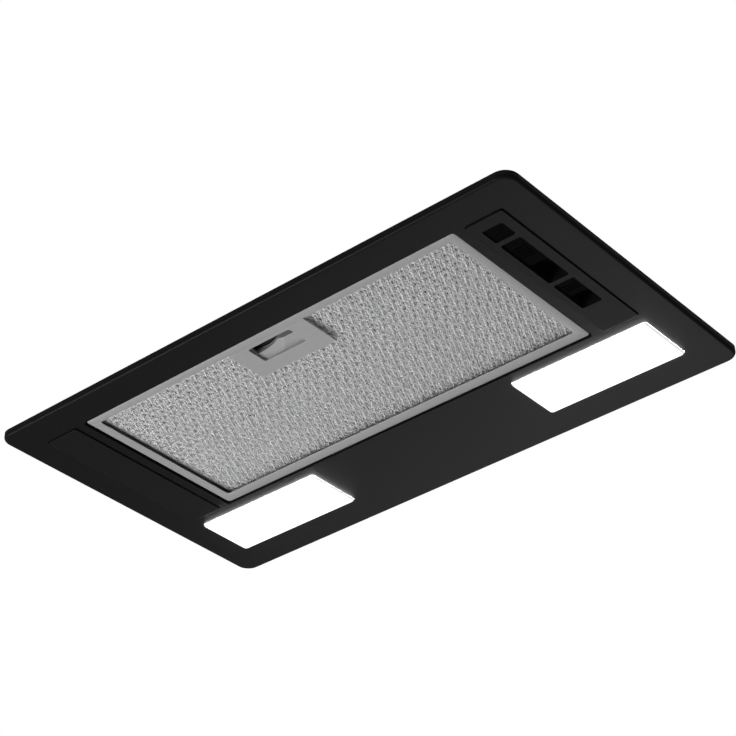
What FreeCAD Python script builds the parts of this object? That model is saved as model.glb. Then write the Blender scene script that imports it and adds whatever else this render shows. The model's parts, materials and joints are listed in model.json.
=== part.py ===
"""Built-in range hood, 52 cm class, as separate solids in one frame.

Millimetres. +Z is up, +X runs along the long side, -Y is the front (the
filter's latch side). The origin is the middle of the mounting plane: the rim's
upper edge, which closes on the underside of the cabinet.
"""
import FreeCAD
import Part
import math
import os

V = FreeCAD.Vector

# Shared: overrun of cutting tools, the fit of fixed pins, and two screw sizes
OVERRUN = 1.0
TOUCH = 1e-6
SLIDE_FIT = 0.02
SCREW_HEAD = 3.6
SCREW_RISE = 2.2
SCREW_SHANK = 2.0
SMALL_HEAD = 3.2
SMALL_RISE = 2.0
SMALL_SHANK = 1.7
HEAD_BEVEL = 0.8

# Face panel, the black tray that shows below the cabinet
PANEL_WIDTH = 525.0
PANEL_DEPTH = 298.0
PANEL_CORNER = 12.0
PANEL_SHEET = 1.0
PANEL_EDGE = 2.5
RIM_HEIGHT = 6.0
RIM_SIDE = 17.5
RIM_FRONT = 16.0
UPSTAND_HEIGHT = 9.0
FACE_Z = -RIM_HEIGHT
SKIN_Z = FACE_Z + PANEL_SHEET
UPSTAND_TOP = SKIN_Z + UPSTAND_HEIGHT
HOUSE_X = PANEL_WIDTH / 2 - RIM_SIDE
HOUSE_Y = PANEL_DEPTH / 2 - RIM_FRONT

# Lamps
LAMP_WIDTH = 128.0
LAMP_DEPTH = 54.5
LAMP_CORNER = 3.0
LAMP_SIDE = 12.4
LAMP_REAR = 17.75
LAMP_GAP = 0.4
LENS_PROUD = 2.0
LENS_EDGE = 1.6
LENS_FLANGE = 3.0
LENS_FLANGE_SHEET = 1.5
TRAY_WALL = 1.2
TRAY_HEIGHT = 18.0
TRAY_PLAY = 0.3
EAR_INSET = 15.0
EAR_CORNER = 3.0
EAR_CLEAR = 0.65
HOLD_INSET = 20.0
HOLD_DEPTH = 2.0
HOLD_HEIGHT = 2.0
LED_COLUMNS = 6
LED_ROWS = 2
LED_MARGIN = 10.0
LED_SIZE = 5.0
LED_RISE = 1.2
BOARD_SHEET = 1.6
BOARD_MARGIN = 4.0
LAMP_X = HOUSE_X - LAMP_SIDE - LAMP_WIDTH / 2
LAMP_Y = HOUSE_Y - LAMP_REAR - LAMP_DEPTH / 2

# Side inserts and switches
BEZEL_WIDTH = 33.0
BEZEL_SIDE = 10.6
BEZEL_GAP = 0.8
BEZEL_THICK = 3.7
BEZEL_PROUD = 1.2
BEZEL_CORNER = 1.5
BEZEL_EDGE = 0.5
BEZEL_FLANGE = 2.5
BEZEL_OVER = 0.5
RIB_SHEET = 2.0
RIB_HEIGHT = 4.0
RIB_INSET = 3.0
SPINE_INSET = 5.0
SLOT_WIDTH = 18.4
SLOT_SHIFT = 1.2
SLOT_LEAD = 10.4
SLOT_CORNER = 2.0
BUTTON_SLOT = 17.2
SPEED_SLOT = 59.6
LIGHT_SLOT = 37.3
SLOT_RIB = 4.6
KNOB_PLAY = 0.5
KNOB_CORNER = 1.6
KNOB_EDGE = 0.5
KNOB_RECESS = 1.6
KNOB_CLEAR = 0.3
BUTTON_RECESS = 1.0
BUTTON_CLEAR = 0.5
SPEED_TRAVEL = 24.0
LIGHT_TRAVEL = 16.0
BUTTON_TRAVEL = 2.0
SPEED_GRIPS = 5
LIGHT_GRIPS = 3
GRIP_PITCH = 3.0
GRIP_WIDTH = 1.4
GRIP_DEPTH = 0.8
GRIP_INSET = 2.5
POCKET_WALL = 1.8
POCKET_HEIGHT = 8.5
STEM_WIDTH = 4.0
STEM_LENGTH = 6.0
STEM_PLAY = 0.4
STEM_REACH = 5.0
STEM_ROOM = 8.0
SWITCH_SIDE = 4.0
SWITCH_END = 2.5
SWITCH_HEIGHT = 10.0
BEZEL_X = HOUSE_X - BEZEL_SIDE - BEZEL_WIDTH / 2
BEZEL_FACE = FACE_Z - BEZEL_PROUD
BEZEL_BACK = BEZEL_FACE + BEZEL_THICK
SLOT_X = BEZEL_X - SLOT_SHIFT
POCKET_TOP = BEZEL_BACK + POCKET_HEIGHT

# Grease filter cassette
FILTER_SIDE = 11.4
FILTER_LEAD = 14.0
FILTER_TO_LAMP = 11.75
FILTER_THICK = 10.0
FILTER_RECESS = 1.5
FILTER_GAP = 1.3
FILTER_GAP_SIDE = 2.1
FILTER_BORDER = 10.0
FILTER_BORDER_FRONT = 8.0
FILTER_BORDER_SIDE = 8.2
FILTER_CORNER = 3.0
FILTER_EDGE = 0.6
WINDOW_CORNER = 2.0
FRAME_WALL = 0.8
FRAME_LIP = 2.0
MESH_SHEET = 0.6
LAYER_PLAY = 0.3
PLEAT_PITCH = 11.0
PLEAT_FLAT = 1.6
PLEAT_SHEET = 0.5
TONGUE_X = 60.0
TONGUE_WIDTH = 24.0
TONGUE_REACH = 8.0
TONGUE_SHEET = 1.0
TONGUE_LEG = 6.0
TONGUE_PLAY = 1.0
TONGUE_SLOT = 8.0
FILTER_WIDTH = 2 * (BEZEL_X - BEZEL_WIDTH / 2 - FILTER_SIDE)
FILTER_FRONT = -HOUSE_Y + FILTER_LEAD
FILTER_REAR = LAMP_Y - LAMP_DEPTH / 2 - FILTER_TO_LAMP
FILTER_DEPTH = FILTER_REAR - FILTER_FRONT
FILTER_Y = (FILTER_FRONT + FILTER_REAR) / 2
FILTER_FACE = FACE_Z + FILTER_RECESS
FILTER_TOP = FILTER_FACE + FILTER_THICK
LIP_Z = FILTER_FACE + FRAME_LIP
OPENING_FRONT = FILTER_FRONT - FILTER_GAP
OPENING_REAR = FILTER_REAR + FILTER_GAP
BEZEL_DEPTH = FILTER_DEPTH + 2 * BEZEL_OVER
SLOT_START = FILTER_FRONT + SLOT_LEAD

# Filter latch
LATCH_PLATE_WIDTH = 77.0
LATCH_PLATE_DEPTH = 38.5
LATCH_WINDOW_WIDTH = 43.0
LATCH_WINDOW_DEPTH = 20.4
LATCH_WINDOW_INSET = 3.3
LATCH_WINDOW_CORNER = 2.5
LATCH_BOX_WIDTH = 62.0
LATCH_BOX_WALL = 1.2
LATCH_BOX_PLAY = 0.2
LATCH_BOX_SHORT = 4.0
LATCH_TRAVEL = 6.0
PULL_PLAY = 0.4
PULL_TAIL = 0.6
PULL_SETBACK = 7.5
PULL_LIP = 6.0
PULL_LIP_HEIGHT = 4.8
PULL_THICK = 4.0
ARM_BREADTH = 8.5
ARM_LAP = 0.5
ARM_TAIL = 9.0
CROSS_LEAD = 1.6
CROSS_DEPTH = 1.3
FINGER_RADIUS = 30.0
FINGER_X = -13.0
FINGER_DEPTH = 4.5
DISH_RADIUS = 55.0
DISH_X = -6.0
DISH_DEPTH = 2.2
BOLT_WIDTH = 24.0
BOLT_THICK = 2.0
BOLT_PLAY = 0.3
BOLT_SET = 0.2
BOLT_BEVEL = 1.2
BOLT_SIDE_PLAY = 1.0
LEAF_SHEET = 0.5
LEAF_BEND = 1.5
LEAF_SPREAD = 3.4
LEAF_INSET = 4.2
STRIKE_SIDE = 6.0
STRIKE_SHEET = 1.2
STRIKE_FOOT_SHEET = 1.0
STRIKE_LAP = 3.0
STRIKE_FOOT = LATCH_TRAVEL + STRIKE_LAP
STRIKE_DROP = 0.8
NOTCH_PLAY = 2.0

# Duct collar and back-draught flaps
COLLAR_RADIUS = 59.5
COLLAR_WALL = 2.5
COLLAR_HEIGHT = 45.0
COLLAR_FLANGE = 148.0
COLLAR_FLANGE_SHEET = 3.0
COLLAR_FLANGE_CORNER = 10.0
COLLAR_BEVEL = 1.0
COLLAR_SCREW_INSET = 10.0
COLLAR_Y = 0.0
FLAP_PIN_RADIUS = 1.5
FLAP_PIN_RISE = 14.0
FLAP_PIN_SET = 0.4
FLAP_SHEET = 1.4
FLAP_GAP = 1.5
FLAP_SETBACK = 5.0
FLAP_RIB_AT = 30.5
FLAP_RIB_HALF = 33.3
FLAP_RIB_SHEET = 1.5
FLAP_RIB_RISE = 2.0
KNUCKLE_RADIUS = 3.0
KNUCKLE_PITCH = 16.65
KNUCKLE_GAP = 0.4
KNUCKLE_PLAY = 0.05
LEDGE_WIDTH = 3.5
LEDGE_HEIGHT = 2.0
LEDGE_CLEAR = 0.3
BORE_RADIUS = COLLAR_RADIUS - COLLAR_WALL
COLLAR_SCREW = COLLAR_FLANGE / 2 - COLLAR_SCREW_INSET

# Blower: a scroll of tangent quarter arcs around a cage wheel
WHEEL_RADIUS = 60.0
WHEEL_SIDE = 7.0
WHEEL_BLADES = 36
BLADE_CHORD = 11.0
BLADE_SHEET = 1.2
BLADE_INSET = 0.3
BLADE_HOLLOW = 1.75
BLADE_LEAD = 2.8
DISC_SHEET = 2.5
RING_WIDTH = 3.0
HUB_RADIUS = 11.0
HUB_FRONT = 18.0
HUB_REAR = 4.0
PLENUM_GAP = 14.5
OUTLET_RISE = 73.2
SCROLL_GAP = 5.0
SCROLL_STEP = 8.0
SCROLL_WALL = 2.0
SCROLL_FLANGE = 6.0
SCROLL_FLANGE_SHEET = 3.0
INLET_GAP = 1.0
INLET_LIP = 3.4
LUG_RADIUS = 5.0
LUG_LENGTH = 8.0
LUG_SINK = 1.0
LUG_UPPER = 42.0
RIB_ANGLES = (0.0, 60.0, 120.0, 180.0, 240.0, 300.0)
SCROLL_RIB_SHEET = 2.0
SCROLL_RIB_RISE = 2.6
SCROLL_RIB_END = 66.0
WHEEL_INNER = WHEEL_RADIUS - BLADE_CHORD
WHEEL_HALF = BORE_RADIUS - WHEEL_SIDE
INLET_RADIUS = WHEEL_INNER + INLET_GAP
SCROLL_HALF = BORE_RADIUS + SCROLL_WALL
SCROLL_FRONT = WHEEL_RADIUS + SCROLL_GAP + SCROLL_STEP
SCROLL_DROP = SCROLL_FRONT + SCROLL_STEP
SCROLL_REAR = SCROLL_DROP + SCROLL_STEP
AXIS_Y = COLLAR_Y - SCROLL_REAR + BORE_RADIUS
AXIS_Z = FILTER_TOP + PLENUM_GAP + SCROLL_DROP
TONGUE_OFFSET = SCROLL_REAR - 2 * BORE_RADIUS

# Housing above the panel
HOUSING_SHEET = 0.8
HOUSING_BEND = 3.0
BEND_PLAY = 0.2
END_FLANGE = 12.0
RIVET_RADIUS = 1.6
RIVET_HEAD = 3.2
RIVET_RISE = 1.2
RIVET_TAIL = 0.6
RIVET_INSET = 7.2
RIVET_FROM_EDGE = 43.75
RIVET_FROM_WALL = 53.2
BRACKET_LEG = 9.0
BRACKET_RISE = 16.0
BRACKET_WIDTH = 24.0
BRACKET_SHEET = 1.5
BRACKET_HOLE_RISE = 9.9
BRACKET_INNER = 68.0
BRACKET_FROM_BEZEL = 60.4
BRACKET_FROM_LAMP = 41.6
SCREW_END = 1.0
BEAD_DEPTH = 12.0
BEAD_RISE = 1.6
BEAD_EDGE = 0.9
BEAD_WALL = 1.0
BEAD_MARGIN = 32.5
BEAD_FROM_WALL = 50.5
WALL_BEAD_LENGTH = 150.0
WALL_BEAD_X = 105.0
WALL_BEAD_FROM_TOP = 40.0
ROOF_Z = AXIS_Z + OUTLET_RISE
HOUSING_TOP = ROOF_Z + HOUSING_SHEET
FLAP_PIN_Z = HOUSING_TOP + FLAP_PIN_RISE
BRACKET_HOLE_Z = SKIN_Z + BRACKET_HOLE_RISE

# Motor
SHAFT_RADIUS = 4.0
SHAFT_PLAY = 0.05
SHAFT_NOSE = 22.0
SHAFT_TAIL = 2.0
SHAFT_BEVEL = 0.6
MOTOR_START = 8.0
MOTOR_STANDOFF = 4.0
MOTOR_GAP = 6.0
STACK_PROUD = 2.0
STACK_BORE = 23.0
STACK_LENGTH = 24.0
ROTOR_GAP = 0.5
SHIELD_SHEET = 2.0
SHIELD_TAPER = 8.0
SHIELD_NOSE = 6.0
BEARING_RADIUS = 8.0
BEARING_LENGTH = 8.0
COIL_LENGTH = 8.0
COIL_GAP = 3.0
COIL_BORE_GAP = 2.0
COIL_EDGE = 2.5
FOOT_OUT = 8.5
FOOT_ANGLES = (30.0, 150.0, 270.0)
GROMMET_RADIUS = 6.0
ARM_WIDTH = 14.0
ARM_SHEET = 2.5
BRACKET_HUB = 25.4
BRACKET_EYE = 12.0
STACK_RADIUS = WHEEL_INNER - MOTOR_GAP
MOTOR_RADIUS = STACK_RADIUS - STACK_PROUD
MOTOR_END = SCROLL_HALF + MOTOR_STANDOFF
FOOT_RADIUS = INLET_RADIUS + FOOT_OUT

# Electrics
BOX_LENGTH = 104.0
BOX_DEPTH = 130.0
BOX_SIDE = 19.0
BOX_LEAD = 21.0
BOX_DROP = 46.0
BOX_WALL = 2.0
LID_SHEET = 2.0
LID_CORNER = 2.0
POST_RADIUS = 4.0
POST_INSET = 5.5
POST_HOLE = 12.0
LID_SCREW_LENGTH = 10.0
CAPACITOR_RADIUS = 14.0
CAPACITOR_LENGTH = 50.0
CAPACITOR_SIDE = 24.0
CAPACITOR_LEAD = 22.0
CAPACITOR_EDGE = 1.5
BLOCK_LENGTH = 36.0
BLOCK_DEPTH = 20.0
BLOCK_HEIGHT = 18.0
BLOCK_SIDE = 10.0
BLOCK_LEAD = 56.0
BLOCK_POLES = 3
POLE_PITCH = 10.0
POLE_RADIUS = 2.6
POLE_WELL = 8.0
POLE_SETBACK = 5.0
DRIVER_LENGTH = 70.0
DRIVER_DEPTH = 34.0
DRIVER_HEIGHT = 22.0
DRIVER_CORNER = 3.0
DRIVER_REAR = 26.0
GLAND_SIDE = 26.0
GLAND_LEAD = 28.0
GLAND_STEM = 8.0
GLAND_BORE = 4.5
GLAND_HEX = 13.0
GLAND_HEX_HEIGHT = 7.0
GLAND_CAP = 10.5
GLAND_HEIGHT = 18.0
GLAND_EDGE = 3.5
GLAND_TAIL = 8.0
NUT_HEX = 12.5
NUT_HEIGHT = 5.0
BOX_X1 = HOUSE_X - BOX_SIDE
BOX_X0 = BOX_X1 - BOX_LENGTH
BOX_Y0 = -HOUSE_Y + BOX_LEAD
BOX_Y1 = BOX_Y0 + BOX_DEPTH
BOX_Z0 = ROOF_Z - BOX_DROP
GLAND_X = BOX_X1 - GLAND_SIDE
GLAND_Y = BOX_Y0 + GLAND_LEAD

# Side catches that snap over the cabinet board
CATCH_WIDTH = 22.0
CATCH_Y = 0.0
CATCH_REACH = 10.0
CATCH_SHOULDER = 19.0
CATCH_NOSE = 6.0
CATCH_HEEL = 5.0
CATCH_CUT = 4.0
CATCH_HEAD = 5.0
CATCH_NECK = 2.0
CATCH_TOP_INSET = 3.5
CATCH_PIVOT_Z = 56.0
CATCH_PIVOT_IN = 9.0
CATCH_PIN_RADIUS = 2.0
CATCH_PIN_END = 1.2
CATCH_CHEEK = 1.5
CATCH_GAP = 0.3
CATCH_BASE = 1.2
CHEEK_BACK = 0.5
CHEEK_BELOW = 7.0
CHEEK_ABOVE = 24.0
BASE_ABOVE = 10.0
CATCH_WINDOW_PLAY = 1.0
CATCH_WINDOW_BELOW = 6.0
CATCH_WINDOW_ABOVE = 9.0
SPRING_SHEET = 0.5
SPRING_WIDTH = 8.0
SPRING_BOW = 4.5
SPRING_TOP = 22.0
SPRING_MIDDLE = 8.0
SPRING_FOOT = 1.0
SPRING_CLEAR = 0.1


def box(x0, x1, y0, y1, z0, z1):
    """Box between two corners, given in either order."""
    low = V(min(x0, x1), min(y0, y1), min(z0, z1))
    return Part.makeBox(abs(x1 - x0), abs(y1 - y0), abs(z1 - z0), low)


def block(cx, cy, width, depth, z0, z1):
    return box(cx - width / 2, cx + width / 2, cy - depth / 2, cy + depth / 2, z0, z1)


def slab(cx, cy, width, depth, radius, z0, z1):
    """Upright prism on a rectangle with round corners."""
    solid = block(cx, cy, width, depth, z0, z1)
    upright = [e for e in solid.Edges if e.BoundBox.ZLength > TOUCH]
    return solid.makeFillet(radius, upright)


def edges_at(solid, z):
    return [e for e in solid.Edges
            if abs(e.BoundBox.ZMin - z) < TOUCH and abs(e.BoundBox.ZMax - z) < TOUCH]


def long_edges_at(solid, z):
    """Edges along X at one height."""
    return [e for e in edges_at(solid, z) if e.BoundBox.YLength < TOUCH]


def circles(solid):
    return [e for e in solid.Edges if len(e.Vertexes) == 1]


def rod_x(radius, x0, x1, y, z):
    return Part.makeCylinder(radius, x1 - x0, V(x0, y, z), V(1, 0, 0))


def rod_y(radius, y0, y1, x, z):
    return Part.makeCylinder(radius, y1 - y0, V(x, y0, z), V(0, 1, 0))


def rod_z(radius, z0, z1, x, y):
    return Part.makeCylinder(radius, z1 - z0, V(x, y, z0), V(0, 0, 1))


def ring_x(outer, inner, x0, x1):
    """Ring on the blower's axis."""
    hole = rod_x(inner, x0 - OVERRUN, x1 + OVERRUN, AXIS_Y, AXIS_Z)
    return rod_x(outer, x0, x1, AXIS_Y, AXIS_Z).cut(hole)


def prism(corners, along):
    return Part.Face(Part.makePolygon(corners + corners[:1])).extrude(along)


def prism_y(points, y0, y1):
    """Prism along Y on points given as (x, z)."""
    return prism([V(x, y0, z) for x, z in points], V(0, y1 - y0, 0))


def hexagon(radius, x, y, z0, z1):
    angles = [math.radians(60 * i) for i in range(6)]
    corners = [V(x + radius * math.cos(a), y + radius * math.sin(a), z0) for a in angles]
    return prism(corners, V(0, 0, z1 - z0))


def turned(points):
    """Solid turned about the blower's axis from points given as (x, radius)."""
    corners = [V(x, AXIS_Y, AXIS_Z + radius) for x, radius in points]
    face = Part.Face(Part.makePolygon(corners + corners[:1]))
    return face.revolve(V(0, AXIS_Y, AXIS_Z), V(1, 0, 0), 360)


def arc(centre, radius, start, end, x):
    """Arc in a plane of constant X, with angles in degrees from +Y towards +Z."""
    points = []
    for angle in (start, (start + end) / 2, end):
        a = math.radians(angle)
        points.append(V(x, centre[0] + radius * math.cos(a), centre[1] + radius * math.sin(a)))
    return Part.Arc(*points).toShape()


def mirrored(solid):
    return solid.mirror(V(0, 0, 0), V(1, 0, 0))


def merged(first, *others):
    return first.fuse(list(others)).removeSplitter()


def group(solids):
    return Part.makeCompound(solids)


def pair(right):
    return group([mirrored(right), right])


def pin_with_head(seat, axis, head_radius, head_rise, shank_radius, shank_length):
    """Screw or rivet: the head stands back from its seat, the shank runs along axis."""
    head = Part.makeCylinder(head_radius, head_rise, seat - axis * head_rise, axis)
    rim = [e for e in circles(head) if (e.CenterOfMass - seat).dot(axis) < -head_rise / 2]
    head = head.makeChamfer(HEAD_BEVEL, rim)
    return merged(head, Part.makeCylinder(shank_radius, shank_length, seat, axis))


def screw(seat, axis, length):
    return pin_with_head(seat, axis, SCREW_HEAD, SCREW_RISE, SCREW_SHANK, length)


def small_screw(seat, axis, length):
    return pin_with_head(seat, axis, SMALL_HEAD, SMALL_RISE, SMALL_SHANK, length)


def slot_spans():
    """Y ranges of the three windows: button, speed, light."""
    spans = []
    start = SLOT_START
    for length in (BUTTON_SLOT, SPEED_SLOT, LIGHT_SLOT):
        spans.append((start, start + length))
        start += length + SLOT_RIB
    return spans


def knob_spans():
    """Y ranges of the button and the two knobs, each at its rest end."""
    travels = (0.0, SPEED_TRAVEL, LIGHT_TRAVEL)
    return [(a + KNOB_PLAY, b - KNOB_PLAY - travel)
            for (a, b), travel in zip(slot_spans(), travels)]


def strike_half():
    return BOLT_WIDTH / 2 + STRIKE_SIDE


def panel_cuts():
    """The openings of the face panel: filter, inserts, lamps, tongue slots, latch notch."""
    low = FACE_Z - OVERRUN
    high = SKIN_Z + OVERRUN
    cuts = [slab(0, FILTER_Y, FILTER_WIDTH + 2 * FILTER_GAP_SIDE, FILTER_DEPTH + 2 * FILTER_GAP,
                 FILTER_CORNER, low, UPSTAND_TOP + OVERRUN)]
    for side in (-1, 1):
        cuts.append(slab(side * BEZEL_X, FILTER_Y, BEZEL_WIDTH + 2 * BEZEL_GAP,
                         BEZEL_DEPTH + 2 * BEZEL_GAP, BEZEL_CORNER + BEZEL_EDGE, low, high))
        cuts.append(slab(side * LAMP_X, LAMP_Y, LAMP_WIDTH + 2 * LAMP_GAP,
                         LAMP_DEPTH + 2 * LAMP_GAP, LAMP_CORNER, low, high))
        half = TONGUE_WIDTH / 2 + TONGUE_PLAY
        cuts.append(box(side * TONGUE_X - half, side * TONGUE_X + half, FILTER_REAR,
                        OPENING_REAR + PANEL_SHEET + OVERRUN, SKIN_Z, SKIN_Z + TONGUE_SLOT))
    half = strike_half() + NOTCH_PLAY
    cuts.append(box(-half, half, OPENING_FRONT - PANEL_SHEET - OVERRUN, FILTER_FRONT,
                    SKIN_Z, UPSTAND_TOP + OVERRUN))
    return cuts


def face_panel():
    outer = slab(0, 0, PANEL_WIDTH, PANEL_DEPTH, PANEL_CORNER, FACE_Z, 0)
    outer = outer.makeFillet(PANEL_EDGE, edges_at(outer, FACE_Z))
    inner = slab(0, 0, PANEL_WIDTH - 2 * PANEL_SHEET, PANEL_DEPTH - 2 * PANEL_SHEET,
                 PANEL_CORNER - PANEL_SHEET, SKIN_Z, OVERRUN)
    inner = inner.makeFillet(PANEL_EDGE - PANEL_SHEET, edges_at(inner, SKIN_Z))
    upstand = slab(0, FILTER_Y, FILTER_WIDTH + 2 * (FILTER_GAP_SIDE + PANEL_SHEET),
                   FILTER_DEPTH + 2 * (FILTER_GAP + PANEL_SHEET),
                   FILTER_CORNER + PANEL_SHEET, SKIN_Z, UPSTAND_TOP)
    return merged(outer.cut(inner), upstand).cut(panel_cuts())


def latch_strike():
    """Angle on the skin; the bolt runs out over its upright leg."""
    half = strike_half()
    top = LIP_Z + BOLT_PLAY - STRIKE_DROP
    upright = box(-half, half, OPENING_FRONT - STRIKE_SHEET, OPENING_FRONT, SKIN_Z, top)
    foot = box(-half, half, OPENING_FRONT - STRIKE_FOOT, OPENING_FRONT,
               SKIN_Z, SKIN_Z + STRIKE_FOOT_SHEET)
    return merged(upright, foot)


def filter_frame():
    body = slab(0, FILTER_Y, FILTER_WIDTH, FILTER_DEPTH, FILTER_CORNER, FILTER_FACE, FILTER_TOP)
    body = body.makeFillet(FILTER_EDGE, edges_at(body, FILTER_FACE))
    front = FILTER_FRONT + FILTER_BORDER_FRONT
    rear = FILTER_REAR - FILTER_BORDER
    window = slab(0, (front + rear) / 2, FILTER_WIDTH - 2 * FILTER_BORDER_SIDE, rear - front,
                  WINDOW_CORNER, FILTER_FACE - OVERRUN, FILTER_TOP + OVERRUN)
    channel = slab(0, FILTER_Y, FILTER_WIDTH - 2 * FRAME_WALL, FILTER_DEPTH - 2 * FRAME_WALL,
                   FILTER_CORNER - FRAME_WALL, LIP_Z, FILTER_TOP - FRAME_WALL)
    half = BOLT_WIDTH / 2 + BOLT_SIDE_PLAY
    bolt_slot = box(-half, half, FILTER_FRONT - OVERRUN, FILTER_FRONT + FRAME_WALL + OVERRUN,
                    LIP_Z, LIP_Z + BOLT_THICK + 2 * BOLT_PLAY)
    return body.cut([window, channel, bolt_slot])


def latch_box_span():
    """Y range of the latch box inside the channel."""
    front = FILTER_FRONT + FRAME_WALL + LATCH_BOX_PLAY
    rear = FILTER_FRONT + FILTER_BORDER_FRONT + LATCH_PLATE_DEPTH - LATCH_BOX_SHORT
    return front, rear


def layer_size():
    inset = FRAME_WALL + LAYER_PLAY
    return FILTER_WIDTH - 2 * inset, FILTER_DEPTH - 2 * inset


def latch_room(sheet):
    """Cut the space for the latch box out of one layer of the filter pack."""
    rear = latch_box_span()[1] + LAYER_PLAY
    half = LATCH_BOX_WIDTH / 2 + LAYER_PLAY
    return sheet.cut(box(-half, half, FILTER_FRONT, rear, LIP_Z - OVERRUN, FILTER_TOP))


def mesh_sheet(z0):
    width, depth = layer_size()
    corner = FILTER_CORNER - FRAME_WALL
    return latch_room(slab(0, FILTER_Y, width, depth, corner, z0, z0 + MESH_SHEET))


def pleated_core(z0, z1):
    """Pleated sheet between the two meshes, its flats resting on them."""
    width, depth = layer_size()
    count = int(width // PLEAT_PITCH)
    pitch = (width - PLEAT_FLAT) / count
    ridge = z1 - PLEAT_SHEET
    low = []
    for i in range(count):
        x = -width / 2 + i * pitch
        crest = x + pitch / 2
        low += [(x, z0), (x + PLEAT_FLAT, z0), (crest, ridge), (crest + PLEAT_FLAT, ridge)]
    low += [(width / 2 - PLEAT_FLAT, z0), (width / 2, z0)]
    high = [(x, z + PLEAT_SHEET) for x, z in reversed(low)]
    sheet = prism_y(low + high, FILTER_Y - depth / 2, FILTER_Y + depth / 2)
    outline = slab(0, FILTER_Y, width, depth, FILTER_CORNER - FRAME_WALL, z0 - OVERRUN, z1 + OVERRUN)
    return latch_room(sheet.common(outline))


def filter_layers():
    top = FILTER_TOP - FRAME_WALL
    return {
        "filter_front_mesh": mesh_sheet(LIP_Z),
        "filter_core": pleated_core(LIP_Z + MESH_SHEET, top - MESH_SHEET),
        "filter_rear_mesh": mesh_sheet(top - MESH_SHEET),
    }


def filter_tongue():
    x0 = TONGUE_X - TONGUE_WIDTH / 2
    x1 = TONGUE_X + TONGUE_WIDTH / 2
    flat = box(x0, x1, FILTER_REAR, FILTER_REAR + TONGUE_REACH, FILTER_FACE, FILTER_FACE + TONGUE_SHEET)
    leg = box(x0, x1, FILTER_REAR, FILTER_REAR + FRAME_WALL, FILTER_FACE, FILTER_FACE + TONGUE_LEG)
    return merged(flat, leg)


def latch_window():
    front = FILTER_FRONT + FILTER_BORDER_FRONT + LATCH_WINDOW_INSET
    return front, front + LATCH_WINDOW_DEPTH


def latch_plate():
    middle = FILTER_FRONT + FILTER_BORDER_FRONT + LATCH_PLATE_DEPTH / 2
    plate = block(0, middle, LATCH_PLATE_WIDTH, LATCH_PLATE_DEPTH, FILTER_FACE, LIP_Z)
    near, far = latch_window()
    hole = slab(0, (near + far) / 2, LATCH_WINDOW_WIDTH, LATCH_WINDOW_DEPTH, LATCH_WINDOW_CORNER,
                FILTER_FACE - OVERRUN, LIP_Z + OVERRUN)
    return plate.cut(hole)


def latch_box():
    front, rear = latch_box_span()
    half = LATCH_BOX_WIDTH / 2
    inner = half - LATCH_BOX_WALL
    top = FILTER_TOP - FRAME_WALL
    shell = box(-half, half, front, rear, LIP_Z, top)
    room = box(-inner, inner, front - OVERRUN, rear - LATCH_BOX_WALL, LIP_Z - OVERRUN, top - LATCH_BOX_WALL)
    return shell.cut(room)


def pull_half():
    return LATCH_BOX_WIDTH / 2 - LATCH_BOX_WALL - PULL_PLAY


def latch_handle():
    """Sliding pull: a scooped and dished plate behind the window, two arms and the bolt."""
    near, far = latch_window()
    tail = latch_box_span()[1] - LATCH_BOX_WALL - PULL_TAIL
    z0 = LIP_Z + BOLT_PLAY
    z1 = z0 + BOLT_THICK
    half = pull_half()
    grip = half - ARM_BREADTH + ARM_LAP
    lip = near + PULL_SETBACK
    plate = box(-grip, grip, lip, tail, z0, z0 + PULL_THICK)
    wall = box(-grip, grip, lip, lip + PULL_LIP, z0, z0 + PULL_LIP_HEIGHT)
    scoop = rod_z(FINGER_RADIUS, z0 - OVERRUN, z0 + PULL_LIP_HEIGHT + OVERRUN,
                  FINGER_X, lip + FINGER_DEPTH - FINGER_RADIUS)
    fade = V(0, far - lip, -DISH_DEPTH)
    axis_drop = DISH_RADIUS * fade.Length / fade.y
    dish = Part.makeCylinder(DISH_RADIUS, 2 * fade.Length,
                             V(DISH_X, lip, z0 + DISH_DEPTH - axis_drop) - fade, fade)
    front = near - CROSS_LEAD
    cross = box(-half, half, front, front + CROSS_DEPTH, z0, z1)
    arms = [box(side * half, side * (half - ARM_BREADTH), front, lip + ARM_TAIL, z0, z1)
            for side in (-1, 1)]
    tip = FILTER_FRONT + BOLT_SET
    bolt = box(-BOLT_WIDTH / 2, BOLT_WIDTH / 2, tip, near, z0, z1)
    nose = [e for e in long_edges_at(bolt, z0) if abs(e.BoundBox.YMin - tip) < TOUCH]
    bolt = bolt.makeChamfer(BOLT_BEVEL, nose)
    return merged(merged(plate, wall).cut([scoop, dish]), cross, bolt, *arms)


def latch_spring():
    """Two bent leaf strips behind the arms of the pull."""
    tip = latch_window()[0] + PULL_SETBACK + ARM_TAIL
    seat = latch_box_span()[1] - LATCH_BOX_WALL
    z0 = LIP_Z + BOLT_PLAY
    inner = LEAF_SPREAD - LEAF_SHEET
    solids = []
    for side in (-1, 1):
        x = side * (pull_half() - LEAF_INSET)
        leaf = [V(x - LEAF_SPREAD, seat, z0), V(x, tip, z0), V(x + LEAF_SPREAD, seat, z0),
                V(x + inner, seat, z0), V(x, tip + LEAF_BEND, z0), V(x - inner, seat, z0)]
        solids.append(prism(leaf, V(0, 0, BOLT_THICK)))
    return group(solids)


def lamp_lens(x):
    low = FACE_Z - LENS_PROUD
    face = slab(x, LAMP_Y, LAMP_WIDTH, LAMP_DEPTH, LAMP_CORNER, low, SKIN_Z)
    face = face.makeFillet(LENS_EDGE, edges_at(face, low))
    rim = slab(x, LAMP_Y, LAMP_WIDTH + 2 * LENS_FLANGE, LAMP_DEPTH + 2 * LENS_FLANGE,
               LAMP_CORNER, SKIN_Z, SKIN_Z + LENS_FLANGE_SHEET)
    return merged(face, rim)


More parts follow.
